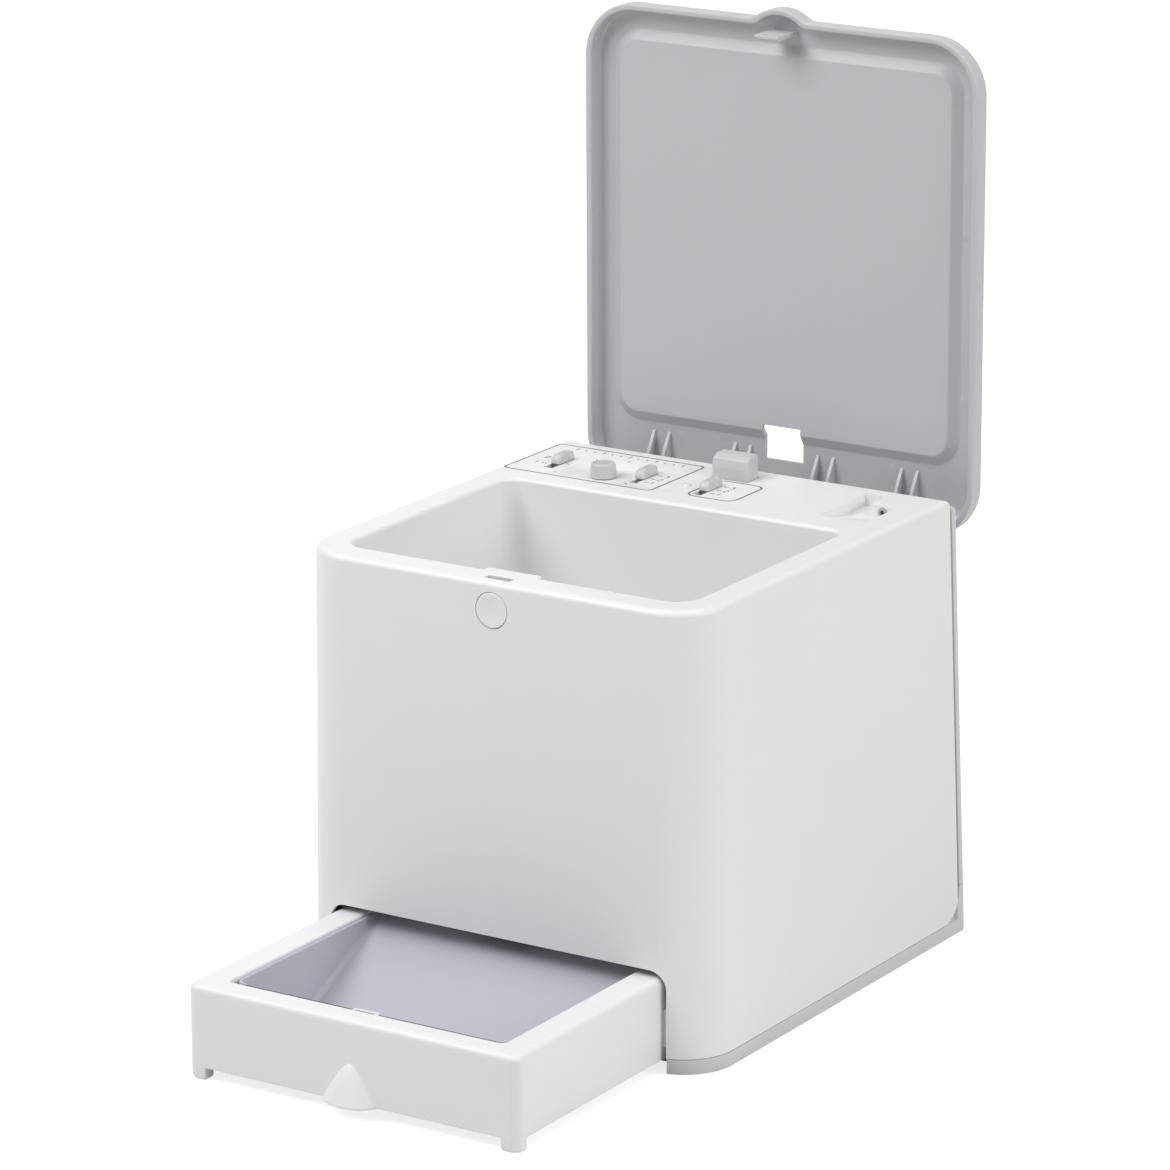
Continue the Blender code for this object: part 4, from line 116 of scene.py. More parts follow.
def plastic(name, colour, roughness, mottle=0.01, grain=0.25, grain_size=0.7):
    """Moulded plastic on Object coordinates. The colour drifts by the mottle share over a hand's width, flow lines
    stretched along Z change the gloss by a little, and a fine spark-eroded grain raises the surface."""
    flow, grain_height = 0.035, 0.02 * MM
    finish = bpy.data.materials.new(name)
    finish.use_nodes = True
    tree = finish.node_tree
    link = tree.links.new
    shader = tree.nodes["Principled BSDF"]
    place = add_node(tree, "TexCoord").outputs["Object"]
    drift = add_node(tree, "TexNoise", Scale=14.0, Detail=5.0)
    shade = add_node(tree, "Mix")
    shade.data_type = "RGBA"
    shade.inputs["A"].default_value = [share * (1 - mottle) for share in colour] + [1.0]
    shade.inputs["B"].default_value = [min(1.0, share * (1 + mottle)) for share in colour] + [1.0]
    stretch = add_node(tree, "Mapping", Scale=(60.0, 60.0, 9.0))
    streaks = add_node(tree, "TexNoise", Scale=1.0, Detail=3.0)
    gloss = add_node(tree, "MapRange", From_Min=0.3, From_Max=0.7, To_Min=roughness - flow, To_Max=roughness + flow)
    sparks = add_node(tree, "TexNoise", Scale=1.0 / (grain_size * MM), Detail=2.0)
    raised = add_node(tree, "Bump", Strength=grain, Distance=grain_height)
    link(place, drift.inputs["Vector"])
    link(place, stretch.inputs["Vector"])
    link(place, sparks.inputs["Vector"])
    link(stretch.outputs["Vector"], streaks.inputs["Vector"])
    link(drift.outputs["Fac"], shade.inputs["Factor"])
    link(shade.outputs["Result"], shader.inputs["Base Color"])
    link(streaks.outputs["Fac"], gloss.inputs["Value"])
    link(gloss.outputs["Result"], shader.inputs["Roughness"])
    link(sparks.outputs["Fac"], raised.inputs["Height"])
    link(raised.outputs["Normal"], shader.inputs["Normal"])
    return finish


def rounded_outline(left, right, front, back, radii, steps=14, ease=0.6):
    """Rectangle in plan, anticlockwise, with the corners front right, rear right, rear left and front left. A corner is
    its centre plus its radius times (cos a, sin a) over a quarter turn, and one more point stands an ease before it
    and after it, so that the flat sides stay flat in the shading."""
    least = 0.05
    radii = np.maximum(np.broadcast_to(radii, 4), least)
    centre_x = np.array([right, right, left, left]) + np.array([-1, -1, 1, 1]) * radii
    centre_y = np.array([front, back, back, front]) + np.array([1, -1, -1, 1]) * radii
    starts = np.radians([-90.0, 0.0, 90.0, 180.0])
    turns = starts[:, None] + np.linspace(0.0, np.pi / 2, steps + 1)
    arcs = np.stack([centre_x[:, None] + radii[:, None] * np.cos(turns),
                     centre_y[:, None] + radii[:, None] * np.sin(turns)], -1)
    before = arcs[:, 0] - ease * np.stack([-np.sin(starts), np.cos(starts)], -1)
    after = arcs[:, -1] - ease * np.stack([np.cos(starts), np.sin(starts)], -1)
    return np.concatenate([before[:, None], arcs, after[:, None]], 1).reshape(-1, 2)


def grown(half, front, back, corners, spread, *fineness):
    """Rounded outline of a box of a half width, widened all round by a spread, or drawn in where that is negative."""
    return rounded_outline(-half - spread, half + spread, front - spread, back + spread, corners + spread, *fineness)


def circle(centre, radius, steps=48):
    """Closed round outline: the centre plus the radius times (cos a, sin a)."""
    turns = np.arange(steps) * 2 * np.pi / steps
    return np.column_stack([centre[0] + radius * np.cos(turns), centre[1] + radius * np.sin(turns)])


def level(outline, height):
    """Outline in plan carried to a height, as (x, y, z)."""
    return np.column_stack([outline, np.full(len(outline), height)])


def skin(rows, joined=False):
    """Closed surface over a stack of equal loops: quads between each loop and the next, and a flat face on the first
    and last loop, or quads from the last back to the first where the stack is joined. Loops run anticlockwise."""
    grid = np.array(rows)
    count, points = grid.shape[:2]
    index = np.arange(count * points).reshape(count, points)
    above = np.roll(index, -1, 0)
    quads = np.stack([index, np.roll(index, -1, 1), np.roll(above, -1, 1), above], -1)
    faces = quads[: count if joined else count - 1].reshape(-1, 4).tolist()
    if not joined:
        faces += [index[0, ::-1].tolist(), index[-1].tolist()]
    return grid.reshape(-1, 3), faces


def prism(outline, low, high, square_to="Z"):
    """Flat outline carried from low to high along X, Y or Z. The outline holds (y, z), (x, z) or (x, y)."""
    flat = np.array(outline)
    first, second = flat[:, 0], flat[:, 1]
    near, far = np.full(len(flat), low), np.full(len(flat), high)
    if square_to == "X":
        return skin([np.column_stack([near, first, second]), np.column_stack([far, first, second])])
    if square_to == "Y":
        return skin([np.column_stack([first, far, second]), np.column_stack([first, near, second])])
    return skin([np.column_stack([first, second, near]), np.column_stack([first, second, far])])


def brick(low, high):
    """Box between two corners."""
    (x0, y0, z0), (x1, y1, z1) = low, high
    return prism([(x0, y0), (x1, y0), (x1, y1), (x0, y1)], z0, z1)


def turned(profile, centre, steps=64, along="Z"):
    """Profile of (radius, height) run from its low end up the outer side, turned about an axis: a point is the centre
    plus its radius times (cos a, sin a), at its height along the axis."""
    radius, height = np.array(profile, float).T
    turns = np.arange(steps) * 2 * np.pi / steps
    first = radius[:, None] * np.cos(turns)
    second = radius[:, None] * np.sin(turns)
    raised = np.broadcast_to(height[:, None], first.shape)
    if along == "Y":
        return skin(np.stack([centre[0] + first, raised, centre[1] - second], -1))
    if along == "X":
        return skin(np.stack([raised, centre[0] + first, centre[1] + second], -1))
    return skin(np.stack([centre[0] + first, centre[1] + second, raised], -1))


def rod(radius, low, high, centre, steps, along="Z"):
    """Straight round bar: a profile of one radius, turned."""
    return turned([(radius, low), (radius, high)], centre, steps, along)


def make_piece(name, *skins):
    """Object from closed surfaces, each a pair of points in millimetres and faces. Its mesh is in metres."""
    points, faces, start = [], [], 0
    for own_points, own_faces in skins:
        points.append(np.asarray(own_points, float))
        faces += [[start + corner for corner in face] for face in own_faces]
        start += len(own_points)
    mesh = bpy.data.meshes.new(name)
    mesh.from_pydata((np.concatenate(points) * MM).tolist(), [], faces)
    obj = bpy.data.objects.new(name, mesh)
    bpy.context.scene.collection.objects.link(obj)
    return obj


def trim(obj, how, *skins):
    """Cuts closed surfaces away from a piece, or joins them to it, and keeps the outcome as its mesh."""
    tools = [make_piece("tool", each) for each in skins]
    for tool in tools:
        step = obj.modifiers.new("trim", "BOOLEAN")
        step.operation = how
        step.solver = "EXACT"
        step.object = tool
    graph = bpy.context.evaluated_depsgraph_get()
    mesh = bpy.data.meshes.new_from_object(obj.evaluated_get(graph), depsgraph=graph)
    obj.modifiers.clear()
    obj.data = mesh
    for tool in tools:
        bpy.data.objects.remove(tool)
    return obj


def dress(obj, finish, body, slot, *nodes, crease=34):
    """Smooth shading with creases past an angle, the finish, and the body and nodes that the piece stands for. The slot
    is not used.
    """
    obj.data.shade_smooth()
    obj.data.set_sharp_from_angle(angle=math.radians(crease))
    obj.data.materials.clear()
    obj.data.materials.append(finish)
    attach(obj, body)
    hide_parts(*nodes)
    return obj


def leaned(outline, height):
    """Outline at a height, with its sides and rear spread outward in step with the drop from the deck."""
    drop = (DECK - height) / DECK
    spread_x = outline[:, 0] * (1 + SIDE_LEAN * drop / HALF_WIDTH)
    spread_y = outline[:, 1] + REAR_LEAN * drop * (outline[:, 1] - FRONT) / (REAR - FRONT)
    return np.column_stack([spread_x, spread_y, np.full(len(outline), height)])


def hood_loop(inset, height):
    """Outline of the hood drawn in by an inset."""
    return leaned(grown(HALF_WIDTH, FRONT, REAR, HOOD_CORNERS, -inset), height)


def well_loop(spread, height):
    """Outline of the hopper well widened by a spread."""
    return level(grown(WELL_HALF, WELL_FRONT, WELL_BACK, WELL_CORNERS, spread), height)


def over_edge(loop, radius, top):
    """Loops up over a rounded outer edge: drawn in by r (1 - cos a), at r (1 - sin a) below the top."""
    return [loop(radius * (1 - math.cos(a)), top - radius * (1 - math.sin(a))) for a in rise]


def into_opening(loop, radius, top, turns=rise):
    """Loops down over an opening's rounded edge: widened by r (1 - sin a), at r (1 - cos a) below the top."""
    return [loop(radius * (1 - math.sin(a)), top - radius * (1 - math.cos(a))) for a in turns]


hood_rows = [hood_loop(0, HOOD_LOW), hood_loop(0, DECK - DECK_ROUND - SOFT)]
hood_rows += over_edge(hood_loop, DECK_ROUND, DECK)
hood_rows += [hood_loop(DECK_ROUND + SOFT, DECK), well_loop(RIM_ROUND + SOFT, DECK)]
hood_rows += into_opening(well_loop, RIM_ROUND, DECK)
hood_rows += [well_loop(0, DECK - RIM_ROUND - SOFT), well_loop(0, WELL_LOW), well_loop(HOOD_WALL, WELL_LOW)]
hood_rows += [loop(HOOD_WALL, DECK - HOOD_WALL) for loop in (well_loop, hood_loop)]
hood_rows += [hood_loop(HOOD_WALL, HOOD_LOW)]
hood = make_piece("hood_shell", skin(hood_rows, joined=True))

# The latch pad on the front wall of the well, the tray under the deck's recess, and the guide tube behind the round
# button are moulded with the hood.
BUTTON_Z = 204.0
TRAY_CORNERS = ((65.5, 56.5, 209.4), (95.5, 105.5, 216.7))
PAD_HALF, PAD_FRONT, PAD_BACK, PAD_LOW, PAD_TOP = 14.5, -98.8, -93.8, 201.0, 217.0
PAD_CORNERS = np.array([0.3, 2.1, 2.1, 0.3])
GUIDE_RADIUS, GUIDE_FRONT, GUIDE_BACK = 10.6, -112.9, -106.05
latch_pad = prism(grown(PAD_HALF, PAD_FRONT, PAD_BACK, PAD_CORNERS, 0, 6, 0.2), PAD_LOW, PAD_TOP)
guide_tube = rod(GUIDE_RADIUS, GUIDE_FRONT, GUIDE_BACK, (0, BUTTON_Z), 48, "Y")
trim(hood, "UNION", latch_pad, brick(*TRAY_CORNERS), guide_tube)

# Openings of the hood: the drawer's mouth, the rear window behind the cover, and the round lower rear corner. The deck
# has the latch slot, three slider slots, holes for the knob, lamp and block, the knob's dish and the jack's recess.
DRAWER_MOUTH = (91.8, -FAR, 48.8, np.array([0.0, 8.5, 8.5, 0.0]))
REAR_WINDOW = (99.0, 34.0, 208.0, 2.5)
DIAL = (-58.5, 71.2)
LAMP = (-12.0, 72.0)
SLIDERS = {"left": (-86.0, 78.0), "right": (-37.0, 76.0), "mode": (0.5, 73.5)}
LATCH_Y = -107.95
LATCH_HALF = (6.8, 2.1)
SLOT_HALF, SLOT_AHEAD, SLOT_BEHIND = 2.4, 13.4, 5.4
BUTTON_HOLE, DIAL_HOLE, LAMP_HOLE, JACK_HOLE = 8.6, 3.4, 2.4, 2.5
BUTTON_HOLE_END = -101.0
BLOCK_HOLE = (-10.3, 90.4, 10.3, 102.5)
JACK = (86.0, 214.4)
JACK_SPAN = (85.5, 100.5)
RECESS_FLOOR = 211.9
RECESS_LEFT, RECESS_RIGHT = 68.0, 93.0
RECESS = [(68.0, 82.0), (93.0, 82.0), (93.0, 88.0), (79.0, 88.0), (79.0, 103.0), (68.0, 103.0)]
RAMP_SIDE = [(59.0, 216.6), (82.4, RECESS_FLOOR), (82.4, 257.5), (59.0, 257.5)]
DISH_STEPS = ((15.0, 215.2), (15.6, 215.32), (19.6, 217.1), (20.3, 217.4), (20.7, 217.55), (22.0, 217.9))
DISH_FLAT = 56.0
CORNER_ROUND = 15.5
CORNER_Z = 23.4
CORNER_Y = REAR + REAR_LEAN * (DECK - CORNER_Z) / DECK - CORNER_ROUND
UNDER, ABOVE = DECK - FAR / 4, DECK + FAR


def corner_path(offset, steps):
    """Lower rear corner in side view, (y, z): an arc about the corner's centre from straight down to the rear wall."""
    turns = np.radians(np.linspace(-90, 2.1, steps))
    radius = CORNER_ROUND + offset
    return np.column_stack([CORNER_Y + radius * np.cos(turns), CORNER_Z + radius * np.sin(turns)])


def across(side_view):
    """Side view (y, z) carried across the whole body, as a cutter."""
    return prism(side_view, -2 * HALF_WIDTH, 2 * HALF_WIDTH, "X")


def below_corner(offset, steps=30):
    """Space below and behind the rear corner, as a cutter."""
    path = corner_path(offset, steps)
    far_y = path[-1, 0] + FAR
    return across(np.vstack([path, [(far_y, path[-1, 1]), (far_y, -FAR), (path[0, 0], -FAR)]]))


dish_rows = []
for spread, height in DISH_STEPS:
    outline = circle(DIAL, spread, 96)
    outline[:, 1] = np.clip(outline[:, 1], DISH_FLAT + (height - DISH_STEPS[0][1]) * 0.1, None)
    dish_rows.append(level(outline, height))
left, front, right, back = BLOCK_HOLE
trim(
    hood, "DIFFERENCE",
    below_corner(0, 22),
    prism(grown(*REAR_WINDOW, 0, 6), REAR - FAR / 4, REAR + FAR, "Y"),
    prism(grown(*DRAWER_MOUTH, 0), FRONT - FAR, FRONT + FAR / 4, "Y"),
    rod(BUTTON_HOLE, FRONT - FAR, BUTTON_HOLE_END, (0, BUTTON_Z), 72, "Y"),
    brick((-LATCH_HALF[0], LATCH_Y - LATCH_HALF[1], BUTTON_Z), (LATCH_HALF[0], LATCH_Y + LATCH_HALF[1], ABOVE)),
    skin(dish_rows),
    prism(circle(DIAL, DIAL_HOLE), UNDER, ABOVE),
    *[brick((x - SLOT_HALF, y - SLOT_AHEAD, UNDER), (x + SLOT_HALF, y + SLOT_BEHIND, ABOVE))
      for x, y in SLIDERS.values()],
    prism(circle(LAMP, LAMP_HOLE), UNDER, ABOVE),
    brick((left, front, UNDER), (right, back, ABOVE)),
    prism(RECESS, RECESS_FLOOR, ABOVE),
    prism(RAMP_SIDE, RECESS_LEFT, RECESS_RIGHT, "X"),
    rod(JACK_HOLE, *JACK_SPAN, JACK, 32, "Y"),
)
white = plastic("white_plastic", (0.80, 0.80, 0.81), 0.40)
dress(hood, white, "housing", "white_plastic", "hood")

# Posts inside the hood, moulded with it: four at the corners, each with a web to the side wall, take the case screws,
# and four under the deck carry the circuit board.
SCREW_SEATS = [(x, y) for x in (-100.0, 100.0) for y in (-96.0, 86.0)]
BOARD_SEATS = [(x, y) for x in (-94.0, 24.0) for y in (54.0, 104.0)]
BOARD_POST = (3.0, 197.9, 216.0)
POST_PROFILE = [(1.5, 4.5), (3.7, 4.5), (4.0, 4.9), (4.0, 34.0)]
WEB_END, WEB_HALF, WEB_LOW, WEB_TOP = 109.0, 1.25, 9.0, 33.2
posts = []
for x, y in SCREW_SEATS:
    posts.append(turned(POST_PROFILE, (x, y), 40))
    near, far = sorted((x, math.copysign(WEB_END, x)))
    posts.append(brick((near, y - WEB_HALF, WEB_LOW), (far, y + WEB_HALF, WEB_TOP)))
posts += [rod(*BOARD_POST, place, 32) for place in BOARD_SEATS]
dress(make_piece("hood_posts", *posts), white, "housing", "white_plastic")

# The round button in the front: a white moulded cap with a shallow dish, flush with the hood. It slides in the guide
# tube on a spring, and its hook frees the lid's tongue.
CAP_RADIUS = 8.3
CAP_EDGE = 0.5
CAP_SHOULDER = -114.25
CAP_DISH = [(7.4, -114.8), (6.6, -114.72), (5.0, -114.5), (3.2, -114.33), (1.6, -114.24), (0.3, -114.2)]
cap_profile = [(CAP_RADIUS, -111.45), (CAP_RADIUS, -114.1)]
cap_profile += [(CAP_RADIUS - CAP_EDGE * (1 - math.cos(a)), CAP_SHOULDER - CAP_EDGE * math.sin(a))
                for a in np.radians(np.linspace(0, 90, 6))] + CAP_DISH
button = make_piece("release_cap", turned(cap_profile[::-1], (0.0, BUTTON_Z), 96, "Y"))
dress(button, white, "release", "white_plastic", "release_button")


# The base: a grey moulded tray under the hood whose rim shows as a band along the bottom and up round the rear corner.
# Its floor carries the drawer's runners and guides, the battery bay and seats for the screws and the rubber feet.
BAND = 7.5
BAND_CORNERS = np.array([25.0, 5.0, 5.0, 25.0])
GAP = 0.3
BASE_LOW = 0.4
BASE_WALL = 2.5
FLOOR_UPPER = 4.2
IN_FLOOR = 3.4
PARTING = 24.5
BASE_MOUTH_HALF, BASE_MOUTH_BACK = 92.1, -100.05
BAY_TOP = 40.0
BAY_OUTER = (65.2, 35.7, 107.2, 2.5)
BAY_INNER = (63.2, 37.7, 105.2, 0.6)
BAY_WINDOW = ((-61.0, 40.2, -FAR), (61.0, 103.3, 5.0))
RUNNER = ((86.1, -99.25, IN_FLOOR), (89.4, 34.0, 6.1))
GUIDE = ((95.4, -89.5, IN_FLOOR), (97.9, 34.0, 19.4))
BOSS_RADIUS, BOSS_TOP = 4.0, 11.4
FOOT_SEAT, FOOT_SEAT_TOP = 7.3, 1.9
HEAD_SEAT = [(3.5, -FAR), (3.5, 0.5), (3.1, 0.9), (3.1, 2.1)]
BORE = 1.5
FOOT_SEATS = [(x, y) for x in (-90.0, 90.0) for y in (-78.0, 74.0)]
DOOR_SCREW = (70.5, 71.75)
DOOR_TOP = 2.8
DOOR_RIM = np.array([(-66.0, 38.0), (66.0, 38.0), (66.0, 65.75), (75.0, 65.75), (75.0, 77.75), (66.0, 77.75),
                     (66.0, 105.5), (-66.0, 105.5)])
DOOR_INWARD = np.array([(1, 1), (-1, 1), (-1, 1), (-1, 1), (-1, -1), (-1, -1), (-1, -1), (1, -1)])
base_grey = plastic("base_grey_plastic", (0.60, 0.598, 0.62), 0.42)


def body_loop(inset, height):
    """Outline of the whole body with its grey rear band, drawn in by an inset."""
    return leaned(grown(HALF_WIDTH, FRONT, REAR + BAND, BAND_CORNERS, -inset), height)


def band_space(offset):
    """Space in front of and above the band, as a cutter."""
    path = corner_path(offset, 30)
    top = (REAR + offset - REAR_LEAN * FAR / DECK, ABOVE)
    return across(np.vstack([path, [top, (FRONT - FAR, ABOVE), (FRONT - FAR, path[0, 1])]]))


def both_sides(low, high):
    """Box and its mirror image on the other side."""
    (x0, y0, z0), (x1, y1, z1) = low, high
    return [brick((x0, y0, z0), (x1, y1, z1)), brick((-x1, y0, z0), (-x0, y1, z1))]


base = make_piece("base_tray", skin([body_loop(0.8, BASE_LOW), body_loop(0.25, BASE_LOW + 0.2),
                                     body_loop(0, BASE_LOW + 0.8), body_loop(0, PARTING)]))
trim(base, "DIFFERENCE", below_corner(BAND), band_space(GAP),
     skin([body_loop(BASE_WALL, FLOOR_UPPER), body_loop(BASE_WALL, PARTING + FAR)]),
     brick((-BASE_MOUTH_HALF, FRONT - FAR, -FAR), (BASE_MOUTH_HALF, BASE_MOUTH_BACK, PARTING + FAR)))
bay_outer = grown(*BAY_OUTER, 0, 8)
bay_inner = grown(*BAY_INNER, 0, 8)
bay = skin([level(bay_outer, IN_FLOOR), level(bay_outer, BAY_TOP - 0.3), level(bay_outer * 0.998, BAY_TOP),
            level(bay_inner, BAY_TOP), level(bay_inner, IN_FLOOR)], joined=True)
trim(base, "UNION", *both_sides(*RUNNER), *both_sides(*GUIDE), bay,
     rod(BOSS_RADIUS, IN_FLOOR, BOSS_TOP, DOOR_SCREW, 40))
seats = [rod(FOOT_SEAT, -FAR, FOOT_SEAT_TOP, place, 64) for place in FOOT_SEATS]
for place in SCREW_SEATS + [DOOR_SCREW]:
    seats.append(turned(HEAD_SEAT, place, 40))
    seats.append(rod(BORE, -FAR, 10.0 if place == DOOR_SCREW else 5.0, place, 24))
trim(base, "DIFFERENCE", prism(DOOR_RIM - GAP * DOOR_INWARD, -FAR, DOOR_TOP + GAP), brick(*BAY_WINDOW), *seats)
dress(base, base_grey, "housing", "grey_plastic", "base")

# The battery door: a flat grey moulded panel under the base, with stiffening ribs above and finger ridges below. One
# screw holds it by a tab at its right end.
DOOR_EASE = 0.35
RIB_PLACES = (-59.9, -19.97, 19.97, 59.9)
RIB_LOW, RIB_HIGH = np.array([-0.8, 43.3, 2.0]), np.array([0.8, 100.2, 4.2])
RIDGE_HALF, RIDGE_START, RIDGE_PITCH = 12.0, 44.0, 2.4
DOOR_SEAT = [(3.3, -FAR), (3.1, 0.8), (3.1, 2.1)]
door = make_piece("door_panel", skin([level(DOOR_RIM + DOOR_EASE * DOOR_INWARD, BASE_LOW),
                                      level(DOOR_RIM, BASE_LOW + DOOR_EASE), level(DOOR_RIM, DOOR_TOP)]))
trim(door, "UNION", *[brick(RIB_LOW + (x, 0, 0), RIB_HIGH + (x, 0, 0)) for x in RIB_PLACES])
ridges = [brick((-RIDGE_HALF, y, -FAR), (RIDGE_HALF, y + 1.0, BASE_LOW + 0.4))
          for y in RIDGE_START + RIDGE_PITCH * np.arange(6)]
trim(door, "DIFFERENCE", turned(DOOR_SEAT, DOOR_SCREW, 40), rod(BORE, -FAR, FAR, DOOR_SCREW, 24), *ridges)
dress(door, base_grey, "housing", "grey_plastic", "battery_door")

# Rubber feet: four soft black pads, moulded with a raised rim and a dished face. They are pressed into round seats in
# the base.
FOOT_PROFILE = [(3.4, 0.45), (5.4, 0.4), (5.7, 0.1), (6.3, 0.0), (6.8, 0.15), (7.0, 0.5), (7.0, 1.6)]
rubber = plastic("rubber", (0.045, 0.045, 0.047), 0.72, mottle=0.15, grain=0.5, grain_size=0.35)
for index, place in enumerate(FOOT_SEATS):
    pad = make_piece(f"foot_pad_{index + 1}", turned(FOOT_PROFILE, place, 72))
    dress(pad, rubber, "housing", "rubber", f"rubber_foot_{index + 1}")

# Screws: steel pan heads with a cross recess over a rolled thread. They are driven from below into the hood's posts
# and the door's boss.
PITCH = 0.45
CREST, ROOT = 1.4, 1.12
HEAD_PROFILE = [(2.2, 0), (2.6, 0.12), (2.8, 0.45), (2.8, 1.3), (1.4, 1.4)]
RECESS_DEEP = 0.8
CASE_SCREW_LENGTH, DOOR_SCREW_LENGTH = 14.3, 7.8
steel = plastic("steel", (0.56, 0.56, 0.57), 0.28, mottle=0.05, grain=0.15, grain_size=0.4)
steel.node_tree.nodes["Principled BSDF"].inputs["Metallic"].default_value = 1.0


def screw(name, place, low, length, along="Z"):
    """Screw from a low end, with a shallow thread: each turn is a crest and a root. Its head is at the low end, or at
    the far end where it lies along Y. Two short bricks cut the cross recess."""
    crests = [turn * PITCH + 1.5 for turn in range(int((length - 2.5) / PITCH))]
    profile = HEAD_PROFILE + [(CREST if turn % 2 else ROOT, height) for turn, height in enumerate(crests)]
    profile += [(0.3, length)]
    end = low + length
    if along == "Y":
        profile = [(radius, end - height) for radius, height in reversed(profile)]
    else:
        profile = [(radius, low + height) for radius, height in profile]
    body = make_piece(name, turned(profile, place, 40, along))
    first, second = place
    for wide, deep in ((1.7, 0.3), (0.3, 1.7)):
        if along == "Y":
            slot = brick((first - wide, end - RECESS_DEEP, second - deep), (first + wide, end + 1.0, second + deep))
        else:
            slot = brick((first - wide, second - deep, low - 1.0), (first + wide, second + deep, low + RECESS_DEEP))
        trim(body, "DIFFERENCE", slot)
    return body


for index, place in enumerate(SCREW_SEATS):
    head = screw(f"case_screw_{index + 1}_head", place, BASE_LOW, CASE_SCREW_LENGTH)
    dress(head, steel, "housing", "steel", f"case_screw_{index + 1}")
head = screw("door_screw_head", DOOR_SCREW, BASE_LOW, DOOR_SCREW_LENGTH)
dress(head, steel, "housing", "steel", "door_screw")

# The rear cover: a grey moulded pan behind the hood with notches for the lid's arms at its top, ears that hold the
# hinge rods, and two bosses for the screws that hold it to the hood.
COVER_TOP = 212.5
COVER_LOW = 24.8
COVER_EDGE = 1.2
COVER_WALL = 2.5
HINGE_Y, HINGE_Z = 117.2, 200.6
ARMS = (-69.7, -23.2, 23.2, 69.7)
EAR_RADIUS, EAR_HALF, EAR_AWAY = 5.3, 1.5, 7.0
EAR_BACK = [(121.3, 192.8), (121.3, 205.9)]
NOTCH_HALF, NOTCH_FRONT, NOTCH_BACK, NOTCH_LOW = 5.5, 107.0, 145.0, 191.5
ROD_HOLE = 1.58
ROD_SPANS = ((-82.9, -10.0), (10.0, 82.9))
COVER_SCREWS = [(-102.0, 120.0), (102.0, 120.0)]
SCREW_BACK = REAR + REAR_LEAN * (DECK - COVER_SCREWS[0][1]) / DECK + BAND
COVER_BOSS = (3.2, SCREW_BACK - 7.2, SCREW_BACK - 0.8)
COVER_SCREW_REACH, COVER_SCREW_LENGTH = 10.3, 9.9
SEAT_PROFILE = [(3.1, SCREW_BACK - 2.0), (3.1, SCREW_BACK - 0.4), (3.7, SCREW_BACK + 0.2), (3.7, SCREW_BACK + 1.0)]
cover_rows = [body_loop(0, COVER_LOW)]
cover_rows += [body_loop(0, height) for height in np.linspace(COVER_LOW + 30, COVER_TOP - 1.8, 4)]
cover = make_piece("cover_pan", skin(cover_rows + over_edge(body_loop, COVER_EDGE, COVER_TOP)))
trim(cover, "DIFFERENCE", skin([body_loop(COVER_WALL, COVER_LOW - FAR), body_loop(COVER_WALL, COVER_TOP - COVER_WALL)]),
     band_space(GAP))
ear_turn = np.radians(np.linspace(90, 270, 24))
ear = np.column_stack([HINGE_Y + EAR_RADIUS * np.cos(ear_turn), HINGE_Z + EAR_RADIUS * np.sin(ear_turn)])
ear = np.vstack([ear, EAR_BACK])
trim(cover, "UNION", *[prism(ear, x - EAR_HALF, x + EAR_HALF, "X")
                       for arm in ARMS for x in (arm - EAR_AWAY, arm + EAR_AWAY)])
trim(cover, "UNION", *[rod(*COVER_BOSS, place, 40, "Y") for place in COVER_SCREWS])
trim(cover, "DIFFERENCE",
     *[brick((arm - NOTCH_HALF, NOTCH_FRONT, NOTCH_LOW), (arm + NOTCH_HALF, NOTCH_BACK, COVER_TOP + FAR))
       for arm in ARMS],
     *[rod(ROD_HOLE, *span, (HINGE_Y, HINGE_Z), 32, "X") for span in ROD_SPANS],
     *[rod(BORE, SCREW_BACK - FAR, SCREW_BACK + FAR, place, 24, "Y") for place in COVER_SCREWS],
     *[turned(SEAT_PROFILE, place, 40, "Y") for place in COVER_SCREWS])
dress(cover, base_grey, "housing", "grey_plastic", "rear_cover")
for side, place in zip(("left", "right"), COVER_SCREWS):
    head = screw(f"cover_screw_{side}_head", place, SCREW_BACK - COVER_SCREW_REACH, COVER_SCREW_LENGTH, "Y")
    dress(head, steel, "housing", "steel", f"cover_screw_{side}")


# The lid: one grey moulding with a skirt round a thin plate, a sunk panel, a thumb tab in front and a rear edge that
# rolls down. A tongue in front drops into the latch, and four pairs of fins carry the arms that turn on the hinge rods.
# It is laid out here as if closed, and is turned open about the rods at the end of its section.
HINGE = np.array([0.0, HINGE_Y, HINGE_Z])
LIP = 217.8
LID_TOP = 227.8
LID_HALF, LID_BACK = 108.3, 127.0
LID_CORNER = 27.0
LID_EDGE = 2.5
LID_UNDER = 1.8
PANEL_HALF, PANEL_FRONT, PANEL_BACK = 91.8, -96.9, 88.3
PANEL_CORNER = 10.0
NOSE = np.array([111.0, 211.8])
NOSE_RADIUS = 16.0
TAB_RADIUS = 19.9
TAB_Y = -100.1
TAB_BLEND = 0.9
KEY_HOLE_HALF, KEY_HOLE_FRONT, KEY_HOLE_BACK = 10.6, 85.0, 102.6
REAR_CUT_HALF, REAR_CUT_TOP = 97.0, 222.0
TAB_X = np.linspace(-22.0, 22.0, 45)
UNDER_PANEL = ((-1.3, 222.8), (-0.6, 222.8), (-0.2, 222.88), (0.15, 223.1), (4.3, 225.72), (4.75, 225.93), (5.4, 226.0))
INSIDE_SKIRT = ((5.0, 226.0), (4.3, 226.0), (3.65, 225.82), (3.18, 225.35), (3.0, 224.7), (3.0, 223.0), (3.0, 220.8),
                (3.0, 218.7))
ROUND_LIP = ((2.95, 218.3), (2.7, 217.95), (2.3, 217.8), (0.8, 217.8), (0.35, 217.92), (0.08, 218.2), (0.0, 218.6))
